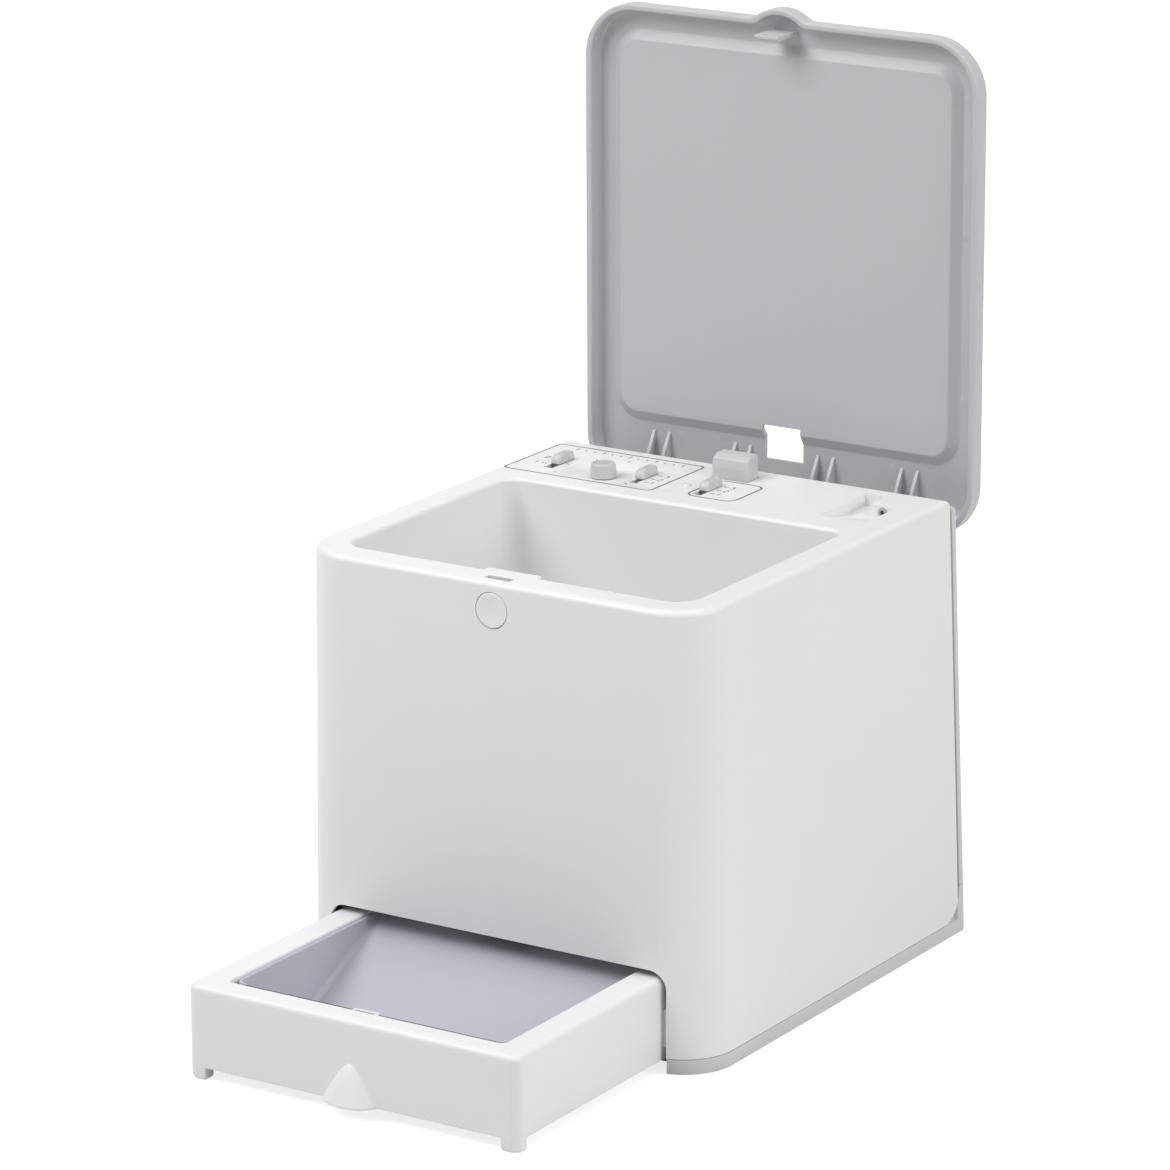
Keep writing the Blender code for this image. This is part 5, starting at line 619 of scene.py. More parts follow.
SKIRT_HEIGHTS = (219.6, 220.6, 221.6, 222.6, 223.6, 224.6)
INTO_PANEL = ((3.6, 227.8), (3.0, 227.8), (2.7, 227.72), (2.45, 227.5), (-0.4, 225.2), (-0.75, 224.98), (-1.4, 224.9))
grey = plastic("grey_plastic", (0.52, 0.515, 0.54), 0.42)


def front_sampled(outline, front):
    """Outline with more points on its front edge, where the thumb tab bulges out."""
    return np.vstack([outline, np.column_stack([TAB_X, np.full(len(TAB_X), front)])])


def lid_loop(inset, height, plate=0.0):
    """Outline of the lid drawn in by an inset. The front edge follows the lower of the straight edge and the tab's arc,
    blended as -k log(exp(-a/k) + exp(-b/k)); the rear edge stays inside the nose circle at this height."""
    front = FRONT + inset
    outline = grown(LID_HALF, FRONT, LID_BACK, LID_CORNER, -inset, 20)
    loop = level(front_sampled(outline, front), height)
    tab = TAB_Y - np.sqrt(np.maximum((TAB_RADIUS - inset) ** 2 - TAB_X ** 2, 0.0))
    loop[-len(TAB_X):, 1] = -TAB_BLEND * np.logaddexp(-front / TAB_BLEND, -tab / TAB_BLEND)
    reach = NOSE_RADIUS - plate
    limit = NOSE[0] + math.sqrt(max(reach ** 2 - max(height - NOSE[1], 0.0) ** 2, 0.0))
    loop[:, 1] = np.minimum(loop[:, 1], limit)
    return loop


def panel_loop(spread, height):
    """Outline of the sunk panel widened by a spread."""
    outline = grown(PANEL_HALF, PANEL_FRONT, PANEL_BACK, PANEL_CORNER, spread, 20)
    return level(front_sampled(outline, PANEL_FRONT - spread), height)


lid_rows = [panel_loop(*step) for step in UNDER_PANEL]
lid_rows += [lid_loop(*step, LID_UNDER) for step in INSIDE_SKIRT]
lid_rows += [lid_loop(*step) for step in ROUND_LIP]
lid_rows += [lid_loop(0.0, height) for height in SKIRT_HEIGHTS]
lid_rows += over_edge(lid_loop, LID_EDGE, LID_TOP) + [lid_loop(3.2, LID_TOP)]
lid_rows += [panel_loop(*step) for step in INTO_PANEL]
lid = make_piece("lid_shell", skin(lid_rows))
trim(lid, "DIFFERENCE",
     brick((-KEY_HOLE_HALF, KEY_HOLE_FRONT, LIP - FAR), (KEY_HOLE_HALF, KEY_HOLE_BACK, LID_TOP + FAR)),
     brick((-REAR_CUT_HALF, NOSE[0], LIP - FAR), (REAR_CUT_HALF, LID_BACK + FAR, REAR_CUT_TOP)))

# The lid's fins, arms and barrels in side view as (y, z), its latch tongue with a chamfered tip, and the marks of
# moulding: round ejector marks on the plate and a sunk gate mark on the panel, each as low as a scratch.
BARREL_RADIUS = 5.0
HEEL = [(124.7, 217.8), (124.5, 218.8), (123.9, 221.6), (122.6, 223.6), (120.4, 225.0), (117.2, 226.2)]
FIN_TOE = [(96.8, 226.3), (97.6, 225.2), (109.6, 218.4)]
TONGUE = [(-108.95, 226.3), (-108.95, 208.0), (-108.5, 206.8), (-107.4, 206.8), (-106.95, 207.4), (-106.95, 226.3)]
TONGUE_HALF = 6.5
ARM_HALF, FIN_INNER, FIN_OUTER = 3.6, 3.5, 5.1
EJECTOR_MARKS = [(-98.0, -20.0), (98.0, -20.0), (-98.0, 60.0), (98.0, 60.0), (-98.0, -85.0), (98.0, -85.0),
                 (-60.0, 97.5), (60.0, 97.5)]
EJECTOR_PROFILE = [(1.9, 225.93), (2.1, 225.98), (2.1, 226.2)]
GATE_PROFILE = [(1.6, 222.72), (1.9, 222.77), (1.9, 223.2)]
OPEN_ANGLE = math.radians(-90)
barrel_turn = np.radians(np.linspace(100, 360, 28))
barrel = HINGE[1:] + BARREL_RADIUS * np.column_stack([np.cos(barrel_turn), np.sin(barrel_turn)])
arm_side = np.vstack([[(115.4, 218.4), (115.4, 206.5)], barrel, HEEL])
fin_side = np.vstack([FIN_TOE, arm_side])
fittings = [prism(TONGUE, -TONGUE_HALF, TONGUE_HALF, "X")]
for x in ARMS:
    fittings += [prism(arm_side, x - ARM_HALF, x + ARM_HALF, "X"), prism(fin_side, x - FIN_OUTER, x - FIN_INNER, "X"),
                 prism(fin_side, x + FIN_INNER, x + FIN_OUTER, "X")]
fittings += [turned(EJECTOR_PROFILE, mark, 36) for mark in EJECTOR_MARKS]
fittings.append(turned(GATE_PROFILE, (0.0, 0.0), 36))
lid_fittings = make_piece("lid_fittings", *fittings)
hinge = HINGE * MM
opening = Matrix.Translation(hinge) @ Matrix.Rotation(OPEN_ANGLE, 4, "X") @ Matrix.Translation(-hinge)
for piece in (lid, lid_fittings):
    piece.data.transform(opening)
dress(lid, grey, "lid", "grey_plastic", "lid")
dress(lid_fittings, grey, "lid", "grey_plastic")


# The drawer: a white moulded frame that slides out of the front on runners, with a wide flat rim, a half-cone finger
# pull low on its front, a small foot at each front corner, side stops and a tab that clips the dish.
DRAWER_FRONT = -230.5
DRAWER_REAR = -82.0
DRAWER_HALF = 89.1
DRAWER_LOW = 6.4
DRAWER_TOP = 45.4
DRAWER_ROUND = 3.0
DRAWER_WALL = 2.5
DRAWER_CORNERS = np.array([5.0, 0.4, 0.4, 5.0])
MOUTH_HALF = 74.0
MOUTH_FRONT = -218.5
MOUTH_REAR = DRAWER_REAR - 2.5
MOUTH_CORNER = 2.5
MOUTH_ROUND = 1.0
MOUTH_WALL = 1.6
MOUTH_DEPTH = 6.0
PULL_HALF = 14.5
PULL_DEPTH = 9.0
PULL_HEIGHT = 18.9
PULL_SINK = 0.8
PULL_HOLLOW = 0.84
CLIP = (6.5, -219.3, -215.8)
CLIP_SLOT = ((-5.2, -219.65, 38.6), (5.2, -217.35, 60.0))
STOP = ((88.3, -111.0, 12.0), (95.0, -105.6, 30.0))
FOOT_WIDTH, FOOT_DEPTH = 9.8, 7.0
FOOT_EASE = [(1.5, 0.3), (0.9, 0.45), (0.4, 0.85), (0.1, 1.5), (0.0, 2.2), (0.0, 30.0)]


def drawer_loop(inset, height):
    """Outline of the drawer drawn in by an inset."""
    return level(grown(DRAWER_HALF, DRAWER_FRONT, DRAWER_REAR, DRAWER_CORNERS, -inset, 12, 0.4), height)


def opening_loop(spread, height):
    """Outline of the opening in the rim, widened by a spread."""
    return level(grown(MOUTH_HALF, MOUTH_FRONT, MOUTH_REAR, MOUTH_CORNER, spread, 12, 0.4), height)


def pull_solid(share):
    """Bullet-shaped half cone on the front: at a height share t its radius is R (1 - t)^0.7, flattened in depth. A
    share below one gives the hollow inside it, which is open below."""
    heights = np.concatenate([[0.0, 0.04], np.linspace(0.08, 0.9, 12), [0.94, 0.97, 0.99, 1.0]])
    radii = np.maximum(PULL_HALF * np.maximum(1 - heights, 0.0) ** 0.7, 0.3)
    radii[0] -= 0.5
    profile = np.column_stack([radii * share, DRAWER_LOW + PULL_HEIGHT * heights * share])
    profile[0, 1] -= 0.0 if share == 1 else FAR / 20
    points, faces = turned(profile, (0.0, 0.0), 72)
    points[:, 1] = DRAWER_FRONT + PULL_SINK + points[:, 1] * PULL_DEPTH / PULL_HALF
    return points, faces


def drawer_foot(side):
    """Foot under one front corner: a block whose lower edge is eased in steps."""
    ends = sorted((side * (DRAWER_HALF - FOOT_WIDTH), side * DRAWER_HALF))
    corners = np.array([5.0, 1.0, 1.0, 1.0] if side > 0 else [1.0, 1.0, 1.0, 5.0])
    return skin([level(rounded_outline(ends[0] + step, ends[1] - step, DRAWER_FRONT + step,
                                       DRAWER_FRONT + FOOT_DEPTH - step, corners - step / 2, 10, 0.2), height)
                 for step, height in FOOT_EASE])


drawer_rows = [drawer_loop(0.5, DRAWER_LOW), drawer_loop(0.15, DRAWER_LOW + 0.1), drawer_loop(0, DRAWER_LOW + 0.5),
               drawer_loop(0, DRAWER_TOP - DRAWER_ROUND - SOFT)]
drawer_rows += over_edge(drawer_loop, DRAWER_ROUND, DRAWER_TOP)
drawer_rows += [drawer_loop(DRAWER_ROUND + SOFT, DRAWER_TOP), opening_loop(MOUTH_ROUND + SOFT, DRAWER_TOP)]
drawer_rows += into_opening(opening_loop, MOUTH_ROUND, DRAWER_TOP, rise[::2])
drawer_rows += [opening_loop(0, DRAWER_TOP - MOUTH_ROUND - SOFT), opening_loop(0, DRAWER_TOP - MOUTH_DEPTH),
                opening_loop(MOUTH_WALL, DRAWER_TOP - MOUTH_DEPTH), opening_loop(MOUTH_WALL, DRAWER_TOP - DRAWER_WALL),
                drawer_loop(DRAWER_WALL, DRAWER_TOP - DRAWER_WALL), drawer_loop(DRAWER_WALL, DRAWER_LOW)]
drawer = make_piece("drawer_shell", skin(drawer_rows, joined=True))
clip = grown(*CLIP, np.array([0.2, 1.0, 1.0, 0.2]), 0, 6, 0.1)
stops = both_sides(*STOP)
trim(drawer, "UNION", pull_solid(1), drawer_foot(-1), stops[1], drawer_foot(1), stops[0],
     prism(clip, DRAWER_TOP - DRAWER_WALL, DRAWER_TOP - 0.3))
trim(drawer, "DIFFERENCE", pull_solid(PULL_HOLLOW), brick(*CLIP_SLOT))
dress(drawer, white, "drawer", "white_plastic", "drawer", crease=14)

# The dish: a thin blue-grey moulded tub clipped into the drawer. Its floor bends up into a ramp that ends under the
# chute, so what falls slides to the front.
TUB_HALF = 73.7
TUB_FRONT = -215.5
TUB_REAR = -84.8
TUB_WALL = 1.6
TUB_TOP = 44.0
TUB_FLOOR = 9.5
TUB_CORNER = 5.0
TUB_BEND = 3.0
TUB_LIP = 0.4
RAMP_START, RAMP_END = -176.0, -99.0
RAMP_TOP = 43.4
FLOOR_MOST = TUB_TOP - 0.6


def tub_floor(y):
    """Floor height: flat, then along the ramp share s it climbs by 0.35 (3 s^2 - 2 s^3) + 0.65 s^1.15 of its rise. A
    round of the corner radius joins the floor to the front wall."""
    s = np.clip((y - RAMP_START) / (RAMP_END - RAMP_START), 0.0, 1.0)
    climb = 0.35 * s * s * (3 - 2 * s) + 0.65 * s ** 1.15
    away = np.clip(TUB_CORNER - (y - TUB_FRONT - TUB_WALL), 0.0, TUB_CORNER)
    return TUB_FLOOR + (RAMP_TOP - TUB_FLOOR) * climb + TUB_CORNER - np.sqrt(TUB_CORNER ** 2 - away ** 2)


def tub_section(y, floor, under):
    """Section across the tub at one y: outer bottom and walls, rounded rims, inner walls and a rounded floor. Near the
    front it narrows by r - sqrt(r^2 - d^2), where r is the corner's radius and d how far y reaches into it."""
    inner_round, outer_round = TUB_CORNER, TUB_CORNER + TUB_WALL
    inside = np.clip(inner_round - (y - TUB_FRONT - TUB_WALL), 0.0, inner_round)
    outside = np.clip(outer_round - (y - TUB_FRONT), 0.0, outer_round)
    inner = TUB_HALF - TUB_WALL - TUB_CORNER + math.sqrt(inner_round ** 2 - inside ** 2)
    outer = TUB_HALF - TUB_CORNER - TUB_WALL + math.sqrt(outer_round ** 2 - outside ** 2)
    outer = max(outer, inner + 0.2)
    shoulder = TUB_TOP - TUB_LIP
    turn = np.linspace(0, np.pi / 2, 7)
    bend = max(min(TUB_BEND, (shoulder - floor) * 0.9), 0.01)
    low_edge = max(floor, under + 0.1)
    left = np.column_stack([-inner + bend * (1 - np.cos(turn)), low_edge + bend * (1 - np.sin(turn))])
    rim = [(-outer, shoulder), (-outer + TUB_LIP / 2, TUB_TOP - TUB_LIP / 4), (-outer + TUB_LIP, TUB_TOP),
           (-inner - TUB_LIP, TUB_TOP), (-inner - TUB_LIP / 2, TUB_TOP - TUB_LIP / 4), (-inner, shoulder)]
    half = np.vstack([[(0.0, under), (-outer, under)], rim, left, [(0.0, low_edge)]])
    outline = np.vstack([half, half[::-1][1:-1] * (-1, 1)])
    return np.column_stack([outline[:, 0], np.full(len(outline), y), outline[:, 1]])


front_inside = TUB_FRONT + TUB_WALL
tub_rows = [tub_section(y, FLOOR_MOST, TUB_FLOOR - TUB_WALL) for y in (TUB_FRONT, front_inside - 0.3)]
stations = np.concatenate([front_inside + TUB_CORNER * (1 - np.cos(np.linspace(0, np.pi / 2, 14))),
                           np.linspace(front_inside + TUB_CORNER + SOFT, RAMP_START - SOFT, 5),
                           np.linspace(RAMP_START, RAMP_END, 48), [RAMP_END + SOFT, TUB_REAR - SOFT, TUB_REAR]])
for y in stations:
    ramp_only = float(tub_floor(max(y, front_inside + TUB_CORNER)))
    tub_rows.append(tub_section(y, min(float(tub_floor(y)), FLOOR_MOST), ramp_only - TUB_WALL))
dish_grey = plastic("dish_plastic", (0.475, 0.48, 0.53), 0.38)
dish_tub = make_piece("dish_tub", skin(tub_rows))
dress(dish_tub, dish_grey, "drawer", "dish_plastic", "tray_insert", crease=40)


# The dispense block: a tall grey moulded key on the deck, with a flange that keeps it in and a stem to its switch. It
# reaches through the hole in the closed lid.
key_grey = plastic("key_plastic", (0.55, 0.54, 0.56), 0.40)
BLOCK_SIDE = [(90.8, 215.0), (102.1, 215.0), (102.1, 229.3), (95.0, 229.3), (91.6, 227.4), (90.8, 223.0)]
BLOCK_HALF = 9.9
BLOCK_ROUND = 1.4
BLOCK_Y = 96.45
FLANGE = ((-11.5, 89.2, 211.7), (11.5, 103.7, 214.7))
STEM = (2.2, 205.4, 215.5)


def rounded_polygon(corners, radius, reach):
    """Convex outline, anticlockwise, rounded at its corners: the edges are moved in by the radius, and each corner of
    that core grows back by a reach along (cos a, sin a) between the directions square to its two edges."""
    least, steps = 0.02, 8
    corners = np.array(corners)
    edges = np.roll(corners, -1, 0) - corners
    edges = edges / np.linalg.norm(edges, axis=1)[:, None]
    out = np.column_stack([edges[:, 1], -edges[:, 0]])
    before, after = np.roll(out, 1, 0), out
    core = corners - radius * (before + after) / (1 + (before * after).sum(1))[:, None]
    first = np.arctan2(before[:, 1], before[:, 0])
    turn = np.mod(np.arctan2(after[:, 1], after[:, 0]) - first, 2 * np.pi)
    angles = first[:, None] + turn[:, None] * np.linspace(0, 1, steps + 1)
    points = core[:, None] + max(reach, least) * np.stack([np.cos(angles), np.sin(angles)], -1)
    return points.reshape(-1, 2)


def pillow(corners, radius, low, high):
    """Rounded side view carried along X from low to high, with both ends rounded by the same radius r: at a turn a of
    the quarter circle the outline is r (1 - cos a) smaller and lies r (1 - sin a) from the end."""
    angles = np.radians(np.linspace(0, 90, 8))
    steps = [(low + radius * (1 - math.sin(a)), radius * (1 - math.cos(a))) for a in angles[::-1]]
    steps += [(high - radius * (1 - math.sin(a)), radius * (1 - math.cos(a))) for a in angles]
    rows = []
    for place, inset in steps:
        flat = rounded_polygon(corners, radius, radius - inset)
        rows.append(np.column_stack([np.full(len(flat), place), flat]))
    return skin(rows)


block = make_piece("dispense_block", pillow(BLOCK_SIDE, BLOCK_ROUND, -BLOCK_HALF, BLOCK_HALF),
                   brick(*FLANGE), rod(*STEM, (0.0, BLOCK_Y), 32))
dress(block, key_grey, "dispense", "key_plastic", "dispense_button", crease=50)

# The slider caps: three grey moulded caps with finger ribs across their tops, each on a tongue that reaches through
# its slot in the deck to a slide switch.
CAP_HALF_X, CAP_HALF_Y, CAP_CORNER = 2.6, 7.5, 1.6
CAP_STEPS = ((217.8, -0.15), (218.1, 0.0), (219.5, -0.1), (221.2, -0.25), (221.7, -0.42), (222.0, -0.75),
             (222.1, -1.15))
CAP_WAIST = 219.5
CAP_SLOPE = 0.55
RIB_HALF, RIB_STEPS, RIB_FLOOR = (1.7, 0.25), (-1.6, 0.0, 1.6), 221.85
TONGUE_PLAN, TONGUE_LOW, TONGUE_TOP = (2.0, 5.0), 206.0, 218.2
for label, (x, y) in SLIDERS.items():
    rows = []
    for height, grow in CAP_STEPS:
        half_x, half_y = CAP_HALF_X + grow, CAP_HALF_Y + grow * 1.6
        slope = max(height - CAP_WAIST, 0.0) * CAP_SLOPE
        rows.append(level(rounded_outline(x - half_x, x + half_x, y - half_y + slope, y + half_y - slope / 2,
                                          max(CAP_CORNER + grow, 0.4), 8, 0.2), height))
    cap = make_piece(f"{label}_cap", skin(rows))
    trim(cap, "DIFFERENCE", *[brick((x - RIB_HALF[0], y + step - RIB_HALF[1], RIB_FLOOR),
                                    (x + RIB_HALF[0], y + step + RIB_HALF[1], 230.0)) for step in RIB_STEPS])
    trim(cap, "UNION", brick((x - TONGUE_PLAN[0], y - TONGUE_PLAN[1], TONGUE_LOW),
                             (x + TONGUE_PLAN[0], y + TONGUE_PLAN[1], TONGUE_TOP)))
    dress(cap, key_grey, f"{label}_switch_cap", "key_plastic", f"{label}_slider")

# The knob and the lamp lens: the knob is a grey moulded button with a finger hollow off its middle, on a spindle in
# its round dish. The lens is a small dome of clear plastic pressed into the deck.
KNOB_PROFILE = [(6.1, 215.5), (6.4, 215.75), (6.38, 217.0), (5.98, 221.6), (5.9, 222.0), (5.7, 222.28), (5.4, 222.4),
                (4.6, 222.4)]
HOLLOW_PROFILE = [(3.2, 220.4), (3.5, 220.55), (3.7, 221.2), (3.95, 222.2), (4.15, 222.35), (4.6, 222.6)]
HOLLOW_AWAY = 0.9
SPINDLE_RADIUS, SPINDLE_LOW, SPINDLE_TOP = 3.0, 205.3, 216.0
LENS_RADIUS, LENS_RISE, LENS_LOW = 2.3, 0.8, 214.6
knob = make_piece("knob", turned(KNOB_PROFILE, DIAL, 96))
trim(knob, "DIFFERENCE", turned(HOLLOW_PROFILE, (DIAL[0] - HOLLOW_AWAY, DIAL[1]), 72))
trim(knob, "UNION", prism(circle(DIAL, SPINDLE_RADIUS), SPINDLE_LOW, SPINDLE_TOP))
dress(knob, key_grey, "dial", "key_plastic", "dial_knob")
lens_profile = [(LENS_RADIUS, LENS_LOW), (LENS_RADIUS, DECK)]
lens_profile += [(LENS_RADIUS * math.cos(a), DECK + LENS_RISE * math.sin(a))
                 for a in np.radians(np.linspace(0, 86, 8))[1:]]
lens = make_piece("lamp_lens", turned(lens_profile, LAMP, 48))
clear = plastic("lens_plastic", (0.88, 0.89, 0.88), 0.15, mottle=0.004, grain=0.03)
clear.node_tree.nodes["Principled BSDF"].inputs["Transmission Weight"].default_value = 0.15
dress(lens, clear, "housing", "lens_plastic", "led_lens")

# The print on the deck: thin dark pad-printed ink in two rounded frames, with marks and plain numbers for the switch
# places, marks round the dish and a row of ticks.
INK_LOW, INK_TOP = DECK - 0.02, DECK + 0.03
FRAME_LINE, MARK_LINE, FIGURE_LINE = 0.95, 0.65, 0.45
FIGURE_SIZE, FIGURE_DROP = 3.3, 1.4
SWITCH_FRAME = (-105.5, -21.5, 54.0, 106.0, 3.5)
MODE_FRAME = (-4.6, 22.2, 57.0, 89.0, 5.5)
RIGHT_MARKS = (-32.6, -30.0, -28.6, 66.5, 6.5)
MODE_MARKS = (4.9, 7.4, 8.8, 65.5, 6.5)
LEFT_MARKS = (-93.6, -90.8, -97.4, 71.0, 10.0)
DIAL_MARK = (22.0, 24.2)
TICKS, TICK_START, TICK_PITCH = 13, -92.0, 5.0
TICK_LOW, TICK_SHORT, TICK_LONG = 99.6, 101.6, 103.0
FIGURES = {
    "0": [(0, 0), (2, 0), (2, 4), (0, 4), (0, 0)],
    "1": [(0.4, 3), (1, 4), (1, 0)],
    "2": [(0, 4), (2, 4), (2, 2), (0, 2), (0, 0), (2, 0)],
    "3": [(0, 4), (2, 4), (1, 2.4), (2, 2.2), (2, 0), (0, 0)],
}
ink = plastic("deck_ink", (0.10, 0.10, 0.11), 0.5, mottle=0.08, grain=0.05)


def frame_line(left, right, front, back, corner):
    """Closed line of ink round a rectangle with round corners."""
    inner = rounded_outline(left + FRAME_LINE, right - FRAME_LINE, front + FRAME_LINE, back - FRAME_LINE,
                            corner - FRAME_LINE, 10, 0.3)
    outer = rounded_outline(left, right, front, back, corner, 10, 0.3)
    return skin([level(outer, INK_LOW), level(outer, INK_TOP), level(inner, INK_TOP), level(inner, INK_LOW)],
                joined=True)


def stroke(start, end, width=MARK_LINE):
    """Straight line of ink between two points, as a slim solid."""
    start, end = np.array(start), np.array(end)
    along = (end - start) / np.linalg.norm(end - start)
    side = np.array([along[1], -along[0]]) * width / 2
    return prism([start + side, end + side, end - side, start - side], INK_LOW, INK_TOP)


def mark_and_figure(marks, index, text):
    """Mark beside a switch place and, past it, its number in straight strokes on a grid two wide and four high. The
    marks hold a mark's two ends and its number's place in x, the first one's y, and the step to the next."""
    left, right, text_x, first_y, pitch = marks
    y = first_y + pitch * index
    unit = FIGURE_SIZE / 4
    points = [(text_x + u * unit, y - FIGURE_DROP + v * unit) for u, v in FIGURES[text]]
    return [stroke((left, y), (right, y))] + [stroke(a, b, FIGURE_LINE) for a, b in zip(points, points[1:])]


print_skins = [frame_line(*SWITCH_FRAME), frame_line(*MODE_FRAME)]
for index, text in enumerate("123"):
    print_skins += mark_and_figure(RIGHT_MARKS, index, text) + mark_and_figure(MODE_MARKS, index, text)
for index, text in enumerate("10"):
    print_skins += mark_and_figure(LEFT_MARKS, index, text)
for turn in np.radians(210.0 - 40.0 * np.arange(7)):
    ray = np.array([math.cos(turn), math.sin(turn)])
    print_skins.append(stroke(DIAL + DIAL_MARK[0] * ray, DIAL + DIAL_MARK[1] * ray))
for index in range(TICKS):
    x = TICK_START + TICK_PITCH * index
    print_skins.append(stroke((x, TICK_LOW), (x, TICK_SHORT if index % 3 else TICK_LONG)))
dress(make_piece("deck_print", *print_skins), ink, "housing", "white_plastic")


# The hopper's funnel: a white moulding hung under the well. A rectangular collar round the well's lower edge narrows to
# a round skirt about the disc.
HOPPER_Y = -28.25
SKIRT_INNER, SKIRT_OUTER, SKIRT_LOW, SKIRT_TOP = 65.5, 67.7, 120.8, 138.0
COLLAR_STEPS = ((2.2, 159.8), (5.0, 160.6), (5.0, 168.7), (4.7, 169.0), (3.1, 169.0), (2.8, 168.7), (2.8, 162.0),
                (0.3, 162.0), (0.0, 161.7))
corner_turns = np.radians(np.concatenate([-88 + 90 * corner + np.linspace(0, 86, 17) for corner in range(4)]))


def ring(radius, height):
    """Circle about the disc's axis with as many points as the well's outline."""
    return level(np.column_stack([radius * np.cos(corner_turns), HOPPER_Y + radius * np.sin(corner_turns)]), height)


def between(first, last, count=7):
    """Loops that lead evenly from one loop to another, both left out."""
    return [first + (last - first) * step / (count + 1) for step in range(1, count + 1)]


collar = [well_loop(*step) for step in COLLAR_STEPS]
skirt = [ring(SKIRT_OUTER - 0.3, SKIRT_LOW), ring(SKIRT_OUTER, SKIRT_LOW + 0.4), ring(SKIRT_OUTER, SKIRT_TOP)]
skirt_inside = [ring(SKIRT_INNER, SKIRT_TOP), ring(SKIRT_INNER, SKIRT_LOW)]
funnel_rows = skirt + between(skirt[-1], collar[0]) + collar + between(collar[-1], skirt_inside[0]) + skirt_inside
funnel = make_piece("funnel_shell", skin(funnel_rows, joined=True))
dress(funnel, white, "housing", "white_plastic", "hopper_funnel")

# The metering disc: an acetal wheel with eight open pockets and a bead round its rim. It turns on the hopper's floor
# and is pressed on the shaft.
DISC_PROFILE = [(64.0, 120.8), (64.8, 121.6), (64.8, 136.0), (64.4, 136.6), (63.6, 136.8), (62.8, 136.5), (62.2, 135.9)]
POCKETS = 8
POCKET_CIRCLE = 46.0
POCKET_RADIUS = 14.2
SHAFT_HOLE = 4.15
DISC_CUT = (118, 140)
acetal = plastic("gear_plastic", (0.80, 0.79, 0.75), 0.35)
axis = (0.0, HOPPER_Y)


def eased(obj, width):
    """Small rounding along the sharp edges, of a width in millimetres, as a modifier."""
    step = obj.modifiers.new("easing", "BEVEL")
    step.width = width * MM
    step.segments = 2
    step.limit_method = "ANGLE"
    step.angle_limit = math.radians(38)
    step.use_clamp_overlap = True
    return obj


disc = make_piece("disc_wheel", turned(DISC_PROFILE, axis, 128))
pocket_turns = math.tau * np.arange(POCKETS) / POCKETS - math.pi / 2
trim(disc, "DIFFERENCE",
     *[rod(POCKET_RADIUS, *DISC_CUT, (POCKET_CIRCLE * math.cos(angle), HOPPER_Y + POCKET_CIRCLE * math.sin(angle)), 48)
       for angle in pocket_turns], rod(SHAFT_HOLE, *DISC_CUT, axis, 36))
dress(eased(disc, 0.35), acetal, "disc", "gear_plastic", "metering_disc")

# The stirring cone: a low moulded acetal cone with three vanes that keep the treats moving. It is pressed on the disc's
# shaft and turns with the disc.
CONE_FOOT = [(26.7, 137.1), (27.0, 137.4), (27.0, 139.2)]
CONE_TIP = [(5.2, 151.75), (3.6, 152.5), (1.8, 152.95), (0.3, 153.1)]
CONE_WIDE, CONE_NARROWED, CONE_LOW, CONE_RISE = 26.6, 20.4, 139.75, 11.2
CONE_BORE = (130, 141.1)
VANES = 3
VANE = ((0.4, -1.2, 138.3), (25.8, 1.2, 149.1))
cone_side = [(CONE_WIDE - CONE_NARROWED * s, CONE_LOW + CONE_RISE * s) for s in np.linspace(0, 1, 12)]
cone = make_piece("cone_body", turned(CONE_FOOT + cone_side + CONE_TIP, axis, 96))
vanes = []
for vane_index in range(VANES):
    points, faces = brick(*VANE)
    spin = math.tau * vane_index / VANES + math.pi / 6
    spun_x = points[:, 0] * math.cos(spin) - points[:, 1] * math.sin(spin)
    spun_y = points[:, 0] * math.sin(spin) + points[:, 1] * math.cos(spin) + HOPPER_Y
    vanes.append((np.column_stack([spun_x, spun_y, points[:, 2]]), faces))
trim(cone, "UNION", *vanes)
trim(cone, "DIFFERENCE", rod(SHAFT_HOLE, *CONE_BORE, axis, 36))
dress(eased(cone, 0.4), acetal, "disc", "gear_plastic", "stirring_cone")

# Plates and ducts around the disc, and the frame under them: white mouldings with eased edges. The frame stands on the
# base over the drawer and carries the floor, the chute and the gear bracket.
MOULDINGS = {"hopper_floor": 0.3, "outlet_guard": 0.25, "chute": 0.3, "mechanism_frame": 0.4, "gear_bracket": 0.3}


def softened(node, width, finish, body, slot):
    """Copy of a CAD node with its points merged, its flat faces joined and its edges rounded by a small bevel."""
    source = frame["nodes"][node]
    shape = bmesh.new()
    shape.from_mesh(source.data)
    shape.transform(source.matrix_world)
    bmesh.ops.remove_doubles(shape, verts=shape.verts, dist=0.001 * MM)
    bmesh.ops.dissolve_limit(shape, angle_limit=math.radians(0.4), verts=shape.verts, edges=shape.edges)
    mesh = bpy.data.meshes.new(node + "_fine")
    shape.to_mesh(mesh)
    shape.free()
    obj = bpy.data.objects.new(node + "_fine", mesh)
    bpy.context.scene.collection.objects.link(obj)
    return dress(eased(obj, width), finish, body, slot, node, crease=30)


for node, width in MOULDINGS.items():
    softened(node, width, white, "housing", "white_plastic")


# The drive: moulded acetal gears on steel pins, turned by a small canned motor that stands in the bracket. The output
# gear is pressed on the disc's shaft, and the pinion on the motor's.
softened("output_gear", 0.15, acetal, "disc", "gear_plastic")
softened("idler_gear", 0.15, acetal, "idler", "gear_plastic")
softened("motor_pinion", 0.12, acetal, "pinion", "gear_plastic")
softened("disc_shaft", 0.3, steel, "disc", "steel")
softened("idler_pin", 0.2, steel, "housing", "steel")
softened("motor", 0.5, steel, "housing", "steel")

# Hinge rods and latch: two ground steel rods with eased ends through the lid's arms and the cover's ears, and an acetal
# hook behind the round button.
ROD_RADIUS = 1.5
ROD_EASE = 0.3


